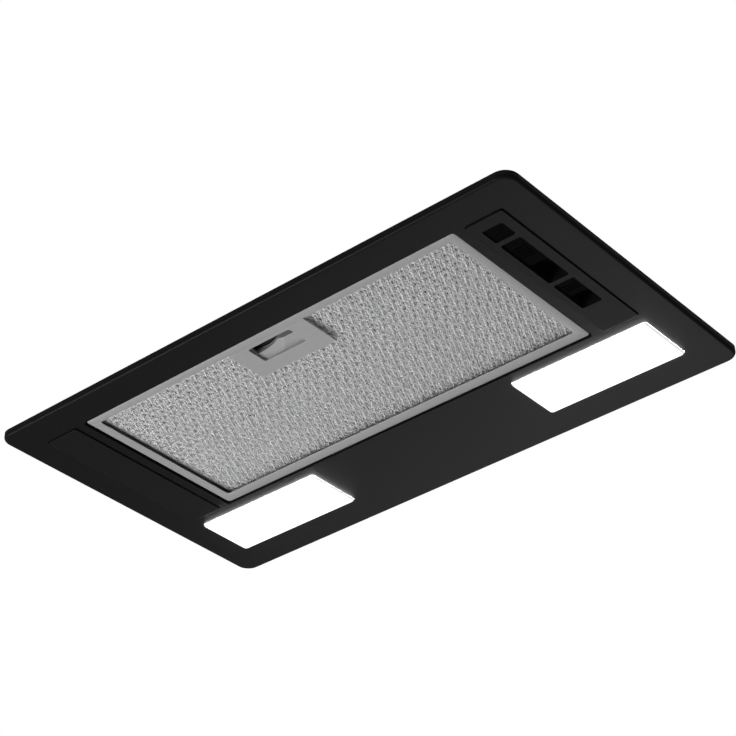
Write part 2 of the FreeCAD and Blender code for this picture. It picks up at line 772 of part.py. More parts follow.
def tray_room():
    margin = 2 * (LENS_FLANGE + TRAY_PLAY)
    return LAMP_WIDTH + margin, LAMP_DEPTH + margin


def lamp_tray(x):
    width, depth = tray_room()
    top = SKIN_Z + TRAY_HEIGHT
    shell = slab(x, LAMP_Y, width + 2 * TRAY_WALL, depth + 2 * TRAY_WALL, LAMP_CORNER, SKIN_Z, top)
    room = slab(x, LAMP_Y, width, depth, LAMP_CORNER - TRAY_WALL, SKIN_Z - OVERRUN, top - TRAY_WALL)
    ear_rear = HOUSE_Y - HOUSING_SHEET - EAR_CLEAR
    ear = slab(x, (LAMP_Y + ear_rear) / 2, width - 2 * EAR_INSET, ear_rear - LAMP_Y,
               EAR_CORNER, SKIN_Z, SKIN_Z + TRAY_WALL)
    z0 = SKIN_Z + LENS_FLANGE_SHEET
    holds = [box(x - width / 2 + HOLD_INSET, x + width / 2 - HOLD_INSET, LAMP_Y + side * depth / 2,
                 LAMP_Y + side * (depth / 2 - HOLD_DEPTH), z0, z0 + HOLD_HEIGHT) for side in (-1, 1)]
    return merged(merged(shell, ear).cut(room), *holds)


def led_board(x):
    width, depth = tray_room()
    top = SKIN_Z + TRAY_HEIGHT - TRAY_WALL
    return block(x, LAMP_Y, width - 2 * BOARD_MARGIN, depth - 2 * BOARD_MARGIN, top - BOARD_SHEET, top)


def led_chips():
    width, depth = tray_room()
    top = SKIN_Z + TRAY_HEIGHT - TRAY_WALL - BOARD_SHEET
    pitch = (width - 2 * LED_MARGIN) / LED_COLUMNS
    solids = []
    for side in (-1, 1):
        for column in range(LED_COLUMNS):
            for row in range(LED_ROWS):
                x = side * LAMP_X + (column - (LED_COLUMNS - 1) / 2) * pitch
                y = LAMP_Y + (row - (LED_ROWS - 1) / 2) * depth / LED_ROWS
                solids.append(block(x, y, LED_SIZE, LED_SIZE, top - LED_RISE, top))
    return group(solids)


def bezel_plate(x):
    plate = slab(x, FILTER_Y, BEZEL_WIDTH, BEZEL_DEPTH, BEZEL_CORNER, BEZEL_FACE, BEZEL_BACK)
    plate = plate.makeFillet(BEZEL_EDGE, edges_at(plate, BEZEL_FACE))
    margin = 2 * (BEZEL_GAP + BEZEL_FLANGE)
    rim = slab(x, FILTER_Y, BEZEL_WIDTH + margin, BEZEL_DEPTH + margin,
               BEZEL_CORNER + BEZEL_EDGE, SKIN_Z, BEZEL_BACK)
    return merged(plate, rim)


def blank_bezel():
    top = BEZEL_BACK + RIB_HEIGHT
    ribs = [block(-BEZEL_X, FILTER_Y + share * BEZEL_DEPTH / 3, BEZEL_WIDTH - 2 * RIB_INSET, RIB_SHEET,
                  BEZEL_BACK, top) for share in (-1, 0, 1)]
    spine = block(-BEZEL_X, FILTER_Y, RIB_SHEET, BEZEL_DEPTH - 2 * SPINE_INSET, BEZEL_BACK, top)
    return merged(bezel_plate(-BEZEL_X), spine, *ribs)


def pocket(z0, z1):
    """Block over the three windows, as wide as the pocket behind them."""
    spans = slot_spans()
    half = SLOT_WIDTH / 2 + POCKET_WALL
    return box(SLOT_X - half, SLOT_X + half, spans[0][0] - POCKET_WALL, spans[-1][1] + POCKET_WALL, z0, z1)


def switch_bezel():
    windows = [slab(SLOT_X, (a + b) / 2, SLOT_WIDTH, b - a, SLOT_CORNER,
                    BEZEL_FACE - OVERRUN, POCKET_TOP + OVERRUN) for a, b in slot_spans()]
    return merged(bezel_plate(BEZEL_X), pocket(BEZEL_BACK, POCKET_TOP)).cut(windows)


def stem_ways(z0, z1):
    """Room that the three stems need to run in, as X, Y and Z ranges."""
    half = STEM_WIDTH / 2 + STEM_PLAY
    reach = STEM_LENGTH / 2 + STEM_PLAY
    ways = []
    for (a, b), travel in zip(knob_spans(), (0.0, SPEED_TRAVEL, LIGHT_TRAVEL)):
        middle = (a + b) / 2
        ways.append((SLOT_X - half, SLOT_X + half, middle - reach, middle + reach + travel, z0, z1))
    return ways


def switch_board():
    top = POCKET_TOP + BOARD_SHEET
    holes = [box(*way) for way in stem_ways(POCKET_TOP - OVERRUN, top + OVERRUN)]
    return pocket(POCKET_TOP, top).cut(holes)


def switch_bodies():
    z0 = POCKET_TOP + BOARD_SHEET
    solids = []
    for way in stem_ways(z0 - OVERRUN, z0 + STEM_ROOM):
        x0, x1, y0, y1 = way[:4]
        body = box(x0 - SWITCH_SIDE, x1 + SWITCH_SIDE, y0 - SWITCH_END, y1 + SWITCH_END,
                   z0, z0 + SWITCH_HEIGHT)
        solids.append(body.cut(box(*way)))
    return group(solids)


def knob(span, recess, top, grips):
    """Block that fills part of a window, with grip grooves and a stem into its switch."""
    a, b = span
    middle = (a + b) / 2
    width = SLOT_WIDTH - 2 * KNOB_PLAY
    face = BEZEL_FACE + recess
    body = slab(SLOT_X, middle, width, b - a, KNOB_CORNER, face, top)
    body = body.makeFillet(KNOB_EDGE, edges_at(body, face))
    stem = block(SLOT_X, middle, STEM_WIDTH, STEM_LENGTH, top - OVERRUN,
                 POCKET_TOP + BOARD_SHEET + STEM_REACH)
    solid = merged(body, stem)
    for i in range(grips):
        y = middle + (i - (grips - 1) / 2) * GRIP_PITCH
        solid = solid.cut(block(SLOT_X, y, width - 2 * GRIP_INSET, GRIP_WIDTH,
                                face - OVERRUN, face + GRIP_DEPTH))
    return solid


def knobs():
    button, speed, light = knob_spans()
    top = POCKET_TOP - KNOB_CLEAR
    return {
        "push_button": knob(button, BUTTON_RECESS, POCKET_TOP - BUTTON_TRAVEL - BUTTON_CLEAR, 0),
        "speed_slider": knob(speed, KNOB_RECESS, top, SPEED_GRIPS),
        "light_slider": knob(light, KNOB_RECESS, top, LIGHT_GRIPS),
    }


def rivet_places():
    """Rivets that join the shell to the end plates: (point, axis into the sheet)."""
    places = []
    for x in (-HOUSE_X + RIVET_INSET, HOUSE_X - RIVET_INSET):
        for side in (-1, 1):
            for z in (RIVET_FROM_EDGE, HOUSING_TOP - RIVET_FROM_EDGE):
                places.append((V(x, side * HOUSE_Y, z), V(0, -side, 0)))
            places.append((V(x, side * (HOUSE_Y - RIVET_FROM_WALL), HOUSING_TOP), V(0, 0, -1)))
    return places


def rivet_holes():
    reach = 2 * HOUSING_SHEET + OVERRUN
    return [Part.makeCylinder(RIVET_RADIUS + SLIDE_FIT, 2 * reach, point - axis * reach, axis)
            for point, axis in rivet_places()]


def housing_rivets():
    length = 2 * HOUSING_SHEET + RIVET_TAIL
    return group([pin_with_head(point, axis, RIVET_HEAD, RIVET_RISE, RIVET_RADIUS, length)
                  for point, axis in rivet_places()])


def bracket_places():
    """Panel brackets as (x, side): side is -1 at the front wall and +1 at the rear."""
    outer = BEZEL_X - BRACKET_FROM_BEZEL
    rear = LAMP_X - LAMP_WIDTH / 2 - BRACKET_FROM_LAMP
    front = [(x, -1) for x in (-outer, -BRACKET_INNER, BRACKET_INNER, outer)]
    return front + [(-rear, 1), (rear, 1)]


def bracket_hole(x, side):
    wall = side * HOUSE_Y
    reach = HOUSING_SHEET + BRACKET_SHEET + OVERRUN
    return rod_y(SCREW_SHANK + SLIDE_FIT, wall - reach, wall + reach, x, BRACKET_HOLE_Z)


def panel_brackets():
    half = BRACKET_WIDTH / 2
    solids = []
    for x, side in bracket_places():
        wall = side * (HOUSE_Y - HOUSING_SHEET)
        foot = box(x - half, x + half, wall, wall - side * BRACKET_LEG, SKIN_Z, SKIN_Z + BRACKET_SHEET)
        rise = box(x - half, x + half, wall, wall - side * BRACKET_SHEET, SKIN_Z, SKIN_Z + BRACKET_RISE)
        solids.append(merged(foot, rise).cut(bracket_hole(x, side)))
    return group(solids)


def panel_screws():
    seat = HOUSE_Y - HOUSING_SHEET - BRACKET_SHEET
    length = BRACKET_SHEET + HOUSING_SHEET + SCREW_END
    return group([screw(V(x, side * seat, BRACKET_HOLE_Z), V(0, side, 0), length)
                  for x, side in bracket_places()])


def collar_screw_places():
    return [(i * COLLAR_SCREW, COLLAR_Y + j * COLLAR_SCREW) for i in (-1, 1) for j in (-1, 1)]


def bead(length):
    """Pressed stiffening bead on the plane z = 0: the raised side and the hollow behind it."""
    raised = slab(0, 0, length, BEAD_DEPTH, BEAD_DEPTH * 0.499, -HOUSING_SHEET / 2, BEAD_RISE)
    raised = raised.makeChamfer(BEAD_EDGE, edges_at(raised, BEAD_RISE))
    depth = BEAD_DEPTH - 2 * BEAD_WALL
    hollow = slab(0, 0, length - 2 * BEAD_WALL, depth, depth * 0.499,
                  -HOUSING_SHEET - OVERRUN, BEAD_RISE - HOUSING_SHEET)
    return raised, hollow


def bead_places():
    """Beads as (length, centre, turn about X): on the roof they stand out, on the walls in."""
    x0 = -HOUSE_X + BEAD_MARGIN
    x1 = -COLLAR_FLANGE / 2 - BEAD_MARGIN
    places = [(x1 - x0, V((x0 + x1) / 2, side * (HOUSE_Y - BEAD_FROM_WALL), HOUSING_TOP), 0)
              for side in (-1, 0, 1)]
    for side in (-1, 1):
        y = side * (HOUSE_Y - HOUSING_SHEET)
        for x in (-WALL_BEAD_X, WALL_BEAD_X):
            places.append((WALL_BEAD_LENGTH, V(x, y, HOUSING_TOP - WALL_BEAD_FROM_TOP), side * 90))
    return places


def housing_shell():
    outer = box(-HOUSE_X, HOUSE_X, -HOUSE_Y, HOUSE_Y, SKIN_Z, HOUSING_TOP)
    outer = outer.makeFillet(HOUSING_BEND, long_edges_at(outer, HOUSING_TOP))
    deep = HOUSE_Y - HOUSING_SHEET
    inner = box(-HOUSE_X - OVERRUN, HOUSE_X + OVERRUN, -deep, deep, SKIN_Z - OVERRUN, ROOF_Z)
    inner = inner.makeFillet(HOUSING_BEND - HOUSING_SHEET, long_edges_at(inner, ROOF_Z))
    raised = []
    cuts = rivet_holes() + [bracket_hole(x, side) for x, side in bracket_places()]
    for length, centre, turn in bead_places():
        for solid, kept in zip(bead(length), (raised, cuts)):
            solid.rotate(V(0, 0, 0), V(1, 0, 0), turn)
            solid.translate(centre)
            kept.append(solid)
    low = ROOF_Z - OVERRUN
    high = HOUSING_TOP + OVERRUN
    cuts.append(rod_z(BORE_RADIUS, low, high, 0, COLLAR_Y))
    cuts.append(rod_z(GLAND_STEM + SLIDE_FIT, low, high, GLAND_X, GLAND_Y))
    cuts += [rod_z(SCREW_SHANK + SLIDE_FIT, low, high, x, y) for x, y in collar_screw_places()]
    return merged(outer.cut(inner), *raised).cut(cuts)


def end_plate():
    """Right-hand end: a flanged tray inside the shell, with the catch's window."""
    deep = HOUSE_Y - HOUSING_SHEET
    tray = box(HOUSE_X - END_FLANGE, HOUSE_X, -deep, deep, SKIN_Z, ROOF_Z)
    tray = tray.makeFillet(HOUSING_BEND - HOUSING_SHEET + BEND_PLAY, long_edges_at(tray, ROOF_Z))
    room = box(HOUSE_X - END_FLANGE - OVERRUN, HOUSE_X - HOUSING_SHEET, -deep + HOUSING_SHEET,
               deep - HOUSING_SHEET, SKIN_Z - OVERRUN, ROOF_Z - HOUSING_SHEET)
    half = CATCH_WIDTH / 2 + CATCH_WINDOW_PLAY
    window = box(HOUSE_X - HOUSING_SHEET - OVERRUN, HOUSE_X + OVERRUN, CATCH_Y - half, CATCH_Y + half,
                 CATCH_SHOULDER - CATCH_WINDOW_BELOW, CATCH_PIVOT_Z + CATCH_WINDOW_ABOVE)
    return tray.cut([room, window] + rivet_holes())


def catch_pivot():
    return HOUSE_X - CATCH_PIVOT_IN


def catch_back():
    return catch_pivot() - CATCH_HEAD


def side_catch():
    """Sprung wedge: its flat shoulder rests on the board, its slope lets it snap in."""
    nose = HOUSE_X + CATCH_REACH
    heel = HOUSE_X - CATCH_HEEL
    top = CATCH_PIVOT_Z + CATCH_HEAD
    neck = CATCH_PIVOT_Z - CATCH_NECK
    points = [(HOUSE_X - CATCH_TOP_INSET, top), (nose, CATCH_SHOULDER + CATCH_NOSE), (nose, CATCH_SHOULDER),
              (heel, CATCH_SHOULDER), (heel - CATCH_CUT, CATCH_SHOULDER + CATCH_HEEL),
              (catch_back(), neck), (catch_back(), top)]
    half = CATCH_WIDTH / 2
    wedge = prism_y(points, CATCH_Y - half, CATCH_Y + half)
    hollow = [(HOUSE_X + CATCH_HEEL / 2, CATCH_SHOULDER + 2 * CATCH_NOSE),
              (heel, CATCH_SHOULDER + CATCH_NOSE + CATCH_NECK),
              (heel - OVERRUN, CATCH_PIVOT_Z - 2 * CATCH_NOSE)]
    relief = prism_y(hollow, CATCH_Y - half - OVERRUN, CATCH_Y + half + OVERRUN)
    bore = rod_y(CATCH_PIN_RADIUS + SHAFT_PLAY, CATCH_Y - CATCH_WIDTH, CATCH_Y + CATCH_WIDTH,
                 catch_pivot(), CATCH_PIVOT_Z)
    return wedge.cut([relief, bore])


def catch_bracket():
    wall = HOUSE_X - HOUSING_SHEET
    inner = CATCH_WIDTH / 2 + CATCH_GAP
    outer = inner + CATCH_CHEEK
    top = CATCH_PIVOT_Z + CHEEK_ABOVE
    base = box(wall - CATCH_BASE, wall, CATCH_Y - outer, CATCH_Y + outer, CATCH_PIVOT_Z + BASE_ABOVE, top)
    cheeks = [box(catch_back() - CHEEK_BACK, wall, CATCH_Y + side * inner, CATCH_Y + side * outer,
                  CATCH_PIVOT_Z - CHEEK_BELOW, top) for side in (-1, 1)]
    hole = rod_y(CATCH_PIN_RADIUS + SLIDE_FIT, CATCH_Y - 2 * outer, CATCH_Y + 2 * outer,
                 catch_pivot(), CATCH_PIVOT_Z)
    return merged(base, *cheeks).cut(hole)


def catch_pin():
    reach = CATCH_WIDTH / 2 + CATCH_CHEEK + CATCH_PIN_END
    return rod_y(CATCH_PIN_RADIUS, CATCH_Y - reach, CATCH_Y + reach, catch_pivot(), CATCH_PIVOT_Z)


def catch_spring():
    """Bowed leaf between the bracket's base and the back of the catch."""
    y0 = CATCH_Y - SPRING_WIDTH / 2
    start = V(HOUSE_X - HOUSING_SHEET - CATCH_BASE, y0, CATCH_PIVOT_Z + SPRING_TOP)
    middle = V(catch_back() - SPRING_BOW, y0, CATCH_PIVOT_Z + SPRING_MIDDLE)
    end = V(catch_back() - SPRING_CLEAR, y0, CATCH_PIVOT_Z - SPRING_FOOT)
    back = V(-SPRING_SHEET, 0, 0)
    rise = V(0, 0, SPRING_SHEET)
    edges = [
        Part.Arc(start, middle, end).toShape(),
        Part.makeLine(end, end + back),
        Part.Arc(end + back, middle + back, start + rise).toShape(),
        Part.makeLine(start + rise, start),
    ]
    return Part.Face(Part.Wire(edges)).extrude(V(0, SPRING_WIDTH, 0))


def outlet_collar():
    top = HOUSING_TOP + COLLAR_HEIGHT
    flange = slab(0, COLLAR_Y, COLLAR_FLANGE, COLLAR_FLANGE, COLLAR_FLANGE_CORNER,
                  HOUSING_TOP, HOUSING_TOP + COLLAR_FLANGE_SHEET)
    tube = rod_z(COLLAR_RADIUS, HOUSING_TOP, top, 0, COLLAR_Y)
    tube = tube.makeChamfer(COLLAR_BEVEL, edges_at(tube, top))
    bore = rod_z(BORE_RADIUS, HOUSING_TOP - OVERRUN, top + OVERRUN, 0, COLLAR_Y)
    seat = FLAP_PIN_Z - FLAP_SHEET / 2 - LEDGE_CLEAR
    ledge = rod_z(BORE_RADIUS + COLLAR_WALL / 2, seat - LEDGE_HEIGHT, seat, 0, COLLAR_Y)
    ledge = ledge.cut(rod_z(BORE_RADIUS - LEDGE_WIDTH, HOUSING_TOP, top, 0, COLLAR_Y))
    holes = [rod_z(SCREW_SHANK + SLIDE_FIT, HOUSING_TOP - OVERRUN,
                   HOUSING_TOP + COLLAR_FLANGE_SHEET + OVERRUN, x, y) for x, y in collar_screw_places()]
    holes.append(rod_x(FLAP_PIN_RADIUS + SLIDE_FIT, -2 * COLLAR_RADIUS, 2 * COLLAR_RADIUS,
                       COLLAR_Y, FLAP_PIN_Z))
    return merged(merged(flange, tube).cut(bore), ledge).cut(holes)


def collar_screws():
    top = HOUSING_TOP + COLLAR_FLANGE_SHEET
    length = COLLAR_FLANGE_SHEET + HOUSING_SHEET + SCROLL_FLANGE_SHEET + SCREW_END
    return group([screw(V(x, y, top), V(0, 0, -1), length) for x, y in collar_screw_places()])


def flap_pin():
    half = COLLAR_RADIUS - FLAP_PIN_SET
    return rod_x(FLAP_PIN_RADIUS, -half, half, COLLAR_Y, FLAP_PIN_Z)


def flap(side):
    """Half-disc flap on its knuckles; side is -1 for the front, +1 for the rear."""
    radius = BORE_RADIUS - FLAP_GAP
    z0 = FLAP_PIN_Z - FLAP_SHEET / 2
    z1 = z0 + FLAP_SHEET
    hinge_edge = COLLAR_Y + FLAP_SETBACK
    disc = rod_z(radius, z0, z1, 0, COLLAR_Y)
    leaf = disc.common(box(-radius, radius, hinge_edge, COLLAR_Y + radius, z0, z1))
    rib_y = COLLAR_Y + FLAP_RIB_AT
    parts = [box(-FLAP_RIB_HALF, FLAP_RIB_HALF, rib_y, rib_y + FLAP_RIB_SHEET, z0, z1 + FLAP_RIB_RISE)]
    shift = 0.0 if side > 0 else KNUCKLE_PITCH
    for start in (shift - 2 * KNUCKLE_PITCH, shift):
        x0 = start + KNUCKLE_GAP
        x1 = start + KNUCKLE_PITCH - KNUCKLE_GAP
        parts.append(rod_x(KNUCKLE_RADIUS, x0, x1, COLLAR_Y, FLAP_PIN_Z))
        parts.append(box(x0, x1, COLLAR_Y, hinge_edge + FLAP_SHEET, z0, z1))
    bore = rod_x(FLAP_PIN_RADIUS + KNUCKLE_PLAY, -radius, radius, COLLAR_Y, FLAP_PIN_Z)
    solid = merged(leaf, *parts).cut(bore)
    return solid if side > 0 else solid.mirror(V(0, COLLAR_Y, 0), V(0, 1, 0))


def scroll_outline(offset, x):
    """Scroll section in a plane of constant X, grown outwards by offset."""
    s = SCROLL_STEP / 2
    r1 = WHEEL_RADIUS + SCROLL_GAP + s + offset
    r2 = r1 + SCROLL_STEP
    r3 = r2 + SCROLL_STEP
    c1 = (AXIS_Y - s, AXIS_Z - s)
    c2 = (AXIS_Y + s, AXIS_Z - s)
    c3 = (AXIS_Y + s, AXIS_Z + s)
    tongue = AXIS_Y + TONGUE_OFFSET - offset
    start = math.degrees(math.acos((tongue - c1[0]) / r1))
    tongue_z = c1[1] + r1 * math.sin(math.radians(start))
    rear = c3[0] + r3
    edges = [
        Part.makeLine(V(x, tongue, ROOF_Z), V(x, tongue, tongue_z)),
        arc(c1, r1, start, 180, x),
        arc(c2, r2, 180, 270, x),
        arc(c3, r3, 270, 360, x),
        Part.makeLine(V(x, rear, c3[1]), V(x, rear, ROOF_Z)),
        Part.makeLine(V(x, rear, ROOF_Z), V(x, tongue, ROOF_Z)),
    ]
    return Part.Face(Part.Wire(edges))


def lug_places():
    """Joining lugs around the scroll as (y, z)."""
    reach = SCROLL_WALL + LUG_RADIUS - LUG_SINK
    half = SCROLL_STEP / 2
    rear = AXIS_Y + SCROLL_REAR + reach
    return [(AXIS_Y - SCROLL_FRONT - reach, AXIS_Z - half), (AXIS_Y + half, AXIS_Z - SCROLL_DROP - reach),
            (rear, AXIS_Z + half), (rear, AXIS_Z + half + LUG_UPPER)]


def scroll_ribs():
    """Radial ribs on the outside of the right-hand scroll wall."""
    solids = []
    for angle in RIB_ANGLES:
        rib = box(SCROLL_HALF - SCROLL_WALL, SCROLL_HALF + SCROLL_RIB_RISE, INLET_RADIUS + OVERRUN,
                  SCROLL_RIB_END, -SCROLL_RIB_SHEET / 2, SCROLL_RIB_SHEET / 2)
        rib.rotate(V(0, 0, 0), V(1, 0, 0), angle)
        rib.translate(V(0, AXIS_Y, AXIS_Z))
        solids.append(rib)
    return solids


def scroll():
    """Right half of the scroll housing, without the holes of the motor's feet."""
    outer = scroll_outline(SCROLL_WALL, 0).extrude(V(SCROLL_HALF, 0, 0))
    room = scroll_outline(0, -OVERRUN).extrude(V(SCROLL_HALF - SCROLL_WALL + OVERRUN, 0, 0))
    mouth_end = SCROLL_HALF + INLET_LIP
    mouth = rod_x(INLET_RADIUS + SCROLL_WALL, SCROLL_HALF - SCROLL_WALL, mouth_end, AXIS_Y, AXIS_Z)
    mouth = mouth.makeFillet(SCROLL_WALL * 0.9, [e for e in circles(mouth) if e.CenterOfMass.x > SCROLL_HALF])
    half = COLLAR_SCREW + SCROLL_FLANGE
    flange = box(0, half, COLLAR_Y - half, COLLAR_Y + half, ROOF_Z - SCROLL_FLANGE_SHEET, ROOF_Z)
    lugs = [rod_x(LUG_RADIUS, 0, LUG_LENGTH, y, z) for y, z in lug_places()]
    solid = merged(outer, flange, mouth, *lugs, *scroll_ribs())
    cuts = [room, rod_x(INLET_RADIUS, 0, mouth_end + OVERRUN, AXIS_Y, AXIS_Z)]
    cuts += [rod_x(SMALL_SHANK + SLIDE_FIT, -OVERRUN, LUG_LENGTH + OVERRUN, y, z) for y, z in lug_places()]
    cuts += [rod_z(SCREW_SHANK + SLIDE_FIT, ROOF_Z - SCROLL_FLANGE_SHEET - OVERRUN, ROOF_Z + OVERRUN, x, y)
             for x, y in collar_screw_places()]
    return solid.cut(cuts)


def foot_places():
    """The three feet of the motor bracket as (y, z)."""
    angles = [math.radians(a) for a in FOOT_ANGLES]
    return [(AXIS_Y + FOOT_RADIUS * math.cos(a), AXIS_Z + FOOT_RADIUS * math.sin(a)) for a in angles]


def foot_holes():
    return [rod_x(SMALL_SHANK + SLIDE_FIT, SCROLL_HALF - SCROLL_WALL - OVERRUN,
                  MOTOR_END + ARM_SHEET + OVERRUN, y, z) for y, z in foot_places()]


def blower_screws():
    solids = [small_screw(V(LUG_LENGTH, y, z), V(-1, 0, 0), 2 * LUG_LENGTH - SCREW_END)
              for y, z in lug_places()]
    face = MOTOR_END + ARM_SHEET
    solids += [small_screw(V(face, y, z), V(-1, 0, 0), face - SCROLL_HALF + SCROLL_WALL)
               for y, z in foot_places()]
    return group(solids)


def motor_grommets():
    grommets = [rod_x(GROMMET_RADIUS, SCROLL_HALF, MOTOR_END, y, z) for y, z in foot_places()]
    return group([grommet.cut(foot_holes()) for grommet in grommets])


def motor_bracket():
    end = MOTOR_END + ARM_SHEET
    pieces = []
    for (y, z), angle in zip(foot_places(), FOOT_ANGLES):
        arm = box(MOTOR_END, end, 0, FOOT_RADIUS, -ARM_WIDTH / 2, ARM_WIDTH / 2)
        arm.rotate(V(0, 0, 0), V(1, 0, 0), angle)
        arm.translate(V(0, AXIS_Y, AXIS_Z))
        pieces += [arm, rod_x(ARM_WIDTH / 2, MOTOR_END, end, y, z)]
    eye = rod_x(BRACKET_EYE, MOTOR_END - OVERRUN, end + OVERRUN, AXIS_Y, AXIS_Z)
    return merged(rod_x(BRACKET_HUB, MOTOR_END, end, AXIS_Y, AXIS_Z), *pieces).cut([eye] + foot_holes())


def stack_span():
    middle = (MOTOR_START + MOTOR_END) / 2
    return middle - STACK_LENGTH / 2, middle + STACK_LENGTH / 2


def motor_shield(closed, mouth):
    """Cup from its closed end, with the bearing seat, to its mouth at the stack."""
    inward = 1 if mouth > closed else -1
    bearing = BEARING_RADIUS + SLIDE_FIT
    seat = bearing + SHIELD_SHEET
    rim = MOTOR_RADIUS - SHIELD_SHEET
    nose = closed + inward * SHIELD_NOSE
    floor = closed + inward * SHIELD_SHEET
    end = closed + inward * BEARING_LENGTH
    taper = MOTOR_RADIUS - SHIELD_TAPER
    points = [(closed, bearing), (closed, taper), (nose, MOTOR_RADIUS), (mouth, MOTOR_RADIUS), (mouth, rim),
              (nose + inward * SHIELD_SHEET / 2, rim), (floor, taper - SHIELD_SHEET / 2), (floor, seat),
              (end, seat), (end, bearing)]
    return turned(points)


def motor():
    a, b = stack_span()
    bush = SHAFT_RADIUS + SHAFT_PLAY
    bearings = [ring_x(BEARING_RADIUS, bush, MOTOR_START, MOTOR_START + BEARING_LENGTH),
                ring_x(BEARING_RADIUS, bush, MOTOR_END - BEARING_LENGTH, MOTOR_END)]
    coils = []
    for x0, x1 in ((a - COIL_LENGTH, a), (b, b + COIL_LENGTH)):
        coil = ring_x(MOTOR_RADIUS - SHIELD_SHEET - COIL_GAP, STACK_BORE + COIL_BORE_GAP, x0, x1)
        coils.append(coil.makeFillet(COIL_EDGE, circles(coil)))
    return {
        "motor_shield_front": motor_shield(MOTOR_START, a),
        "motor_shield_rear": motor_shield(MOTOR_END, b),
        "stator_stack": ring_x(STACK_RADIUS, STACK_BORE, a, b),
        "stator_windings": group(coils),
        "motor_bearings": group(bearings),
        "rotor": ring_x(STACK_BORE - ROTOR_GAP, SHAFT_RADIUS + SLIDE_FIT, a, b),
    }


def motor_shaft():
    shaft = rod_x(SHAFT_RADIUS, -SHAFT_NOSE, MOTOR_END + SHAFT_TAIL, AXIS_Y, AXIS_Z)
    return shaft.makeChamfer(SHAFT_BEVEL, circles(shaft))


def blade_point(radius, lead, across):
    """Point of the blade's section: lead and across are arc lengths at that radius."""
    a = math.pi / 2 + (lead + across) / radius
    start = -WHEEL_HALF + RING_WIDTH
    return V(start, AXIS_Y + radius * math.cos(a), AXIS_Z + radius * math.sin(a))


def blade():
    """One forward-curved blade between the end rings, at the top of the wheel."""
    inner = WHEEL_INNER + BLADE_INSET
    outer = WHEEL_RADIUS - BLADE_INSET
    half = BLADE_SHEET / 2
    stations = [(inner, 0.0), ((inner + outer) / 2, -BLADE_HOLLOW), (outer, BLADE_LEAD)]
    front = [blade_point(radius, lead, half) for radius, lead in stations]
    back = [blade_point(radius, lead, -half) for radius, lead in reversed(stations)]
    edges = [Part.Arc(*front).toShape(), Part.makeLine(front[-1], back[0]),
             Part.Arc(*back).toShape(), Part.makeLine(back[-1], front[0])]
    return Part.Face(Part.Wire(edges)).extrude(V(2 * (WHEEL_HALF - RING_WIDTH), 0, 0))


def impeller():
    """Cage wheel: a disc on its hub, two end rings, and the blades held between the rings."""
    disc = rod_x(WHEEL_INNER, -DISC_SHEET / 2, DISC_SHEET / 2, AXIS_Y, AXIS_Z)
    hub = rod_x(HUB_RADIUS, -HUB_FRONT, HUB_REAR, AXIS_Y, AXIS_Z)
    bore = rod_x(SHAFT_RADIUS + SLIDE_FIT, -WHEEL_HALF, WHEEL_HALF, AXIS_Y, AXIS_Z)
    solids = [merged(disc, hub).cut(bore),
              ring_x(WHEEL_RADIUS, WHEEL_INNER, -WHEEL_HALF, -WHEEL_HALF + RING_WIDTH),
              ring_x(WHEEL_RADIUS, WHEEL_INNER, WHEEL_HALF - RING_WIDTH, WHEEL_HALF)]
    first = blade()
    for i in range(WHEEL_BLADES):
        copy = first.copy()
        copy.rotate(V(0, AXIS_Y, AXIS_Z), V(1, 0, 0), 360.0 * i / WHEEL_BLADES)
        solids.append(copy)
    return group(solids)


def lid_screw_places():
    return [(x, y) for x in (BOX_X0 + POST_INSET, BOX_X1 - POST_INSET)
            for y in (BOX_Y0 + POST_INSET, BOX_Y1 - POST_INSET)]


def control_box():
    shell = box(BOX_X0, BOX_X1, BOX_Y0, BOX_Y1, BOX_Z0, ROOF_Z)
    room = box(BOX_X0 + BOX_WALL, BOX_X1 - BOX_WALL, BOX_Y0 + BOX_WALL, BOX_Y1 - BOX_WALL,
               BOX_Z0 - OVERRUN, ROOF_Z - BOX_WALL)
    posts = [rod_z(POST_RADIUS, BOX_Z0, ROOF_Z - BOX_WALL / 2, x, y) for x, y in lid_screw_places()]
    holes = [rod_z(SMALL_SHANK + SLIDE_FIT, BOX_Z0 - OVERRUN, BOX_Z0 + POST_HOLE, x, y)
             for x, y in lid_screw_places()]
    holes.append(rod_z(GLAND_STEM + SLIDE_FIT, ROOF_Z - BOX_WALL - OVERRUN, ROOF_Z + OVERRUN,
                       GLAND_X, GLAND_Y))
    return merged(shell.cut(room), *posts).cut(holes)


def control_box_lid():
    low = BOX_Z0 - LID_SHEET
    lid = slab((BOX_X0 + BOX_X1) / 2, (BOX_Y0 + BOX_Y1) / 2, BOX_LENGTH, BOX_DEPTH, LID_CORNER, low, BOX_Z0)
    return lid.cut([rod_z(SMALL_SHANK + SLIDE_FIT, low - OVERRUN, BOX_Z0 + OVERRUN, x, y)
                    for x, y in lid_screw_places()])


def lid_screws():
    return group([small_screw(V(x, y, BOX_Z0 - LID_SHEET), V(0, 0, 1), LID_SCREW_LENGTH)
                  for x, y in lid_screw_places()])


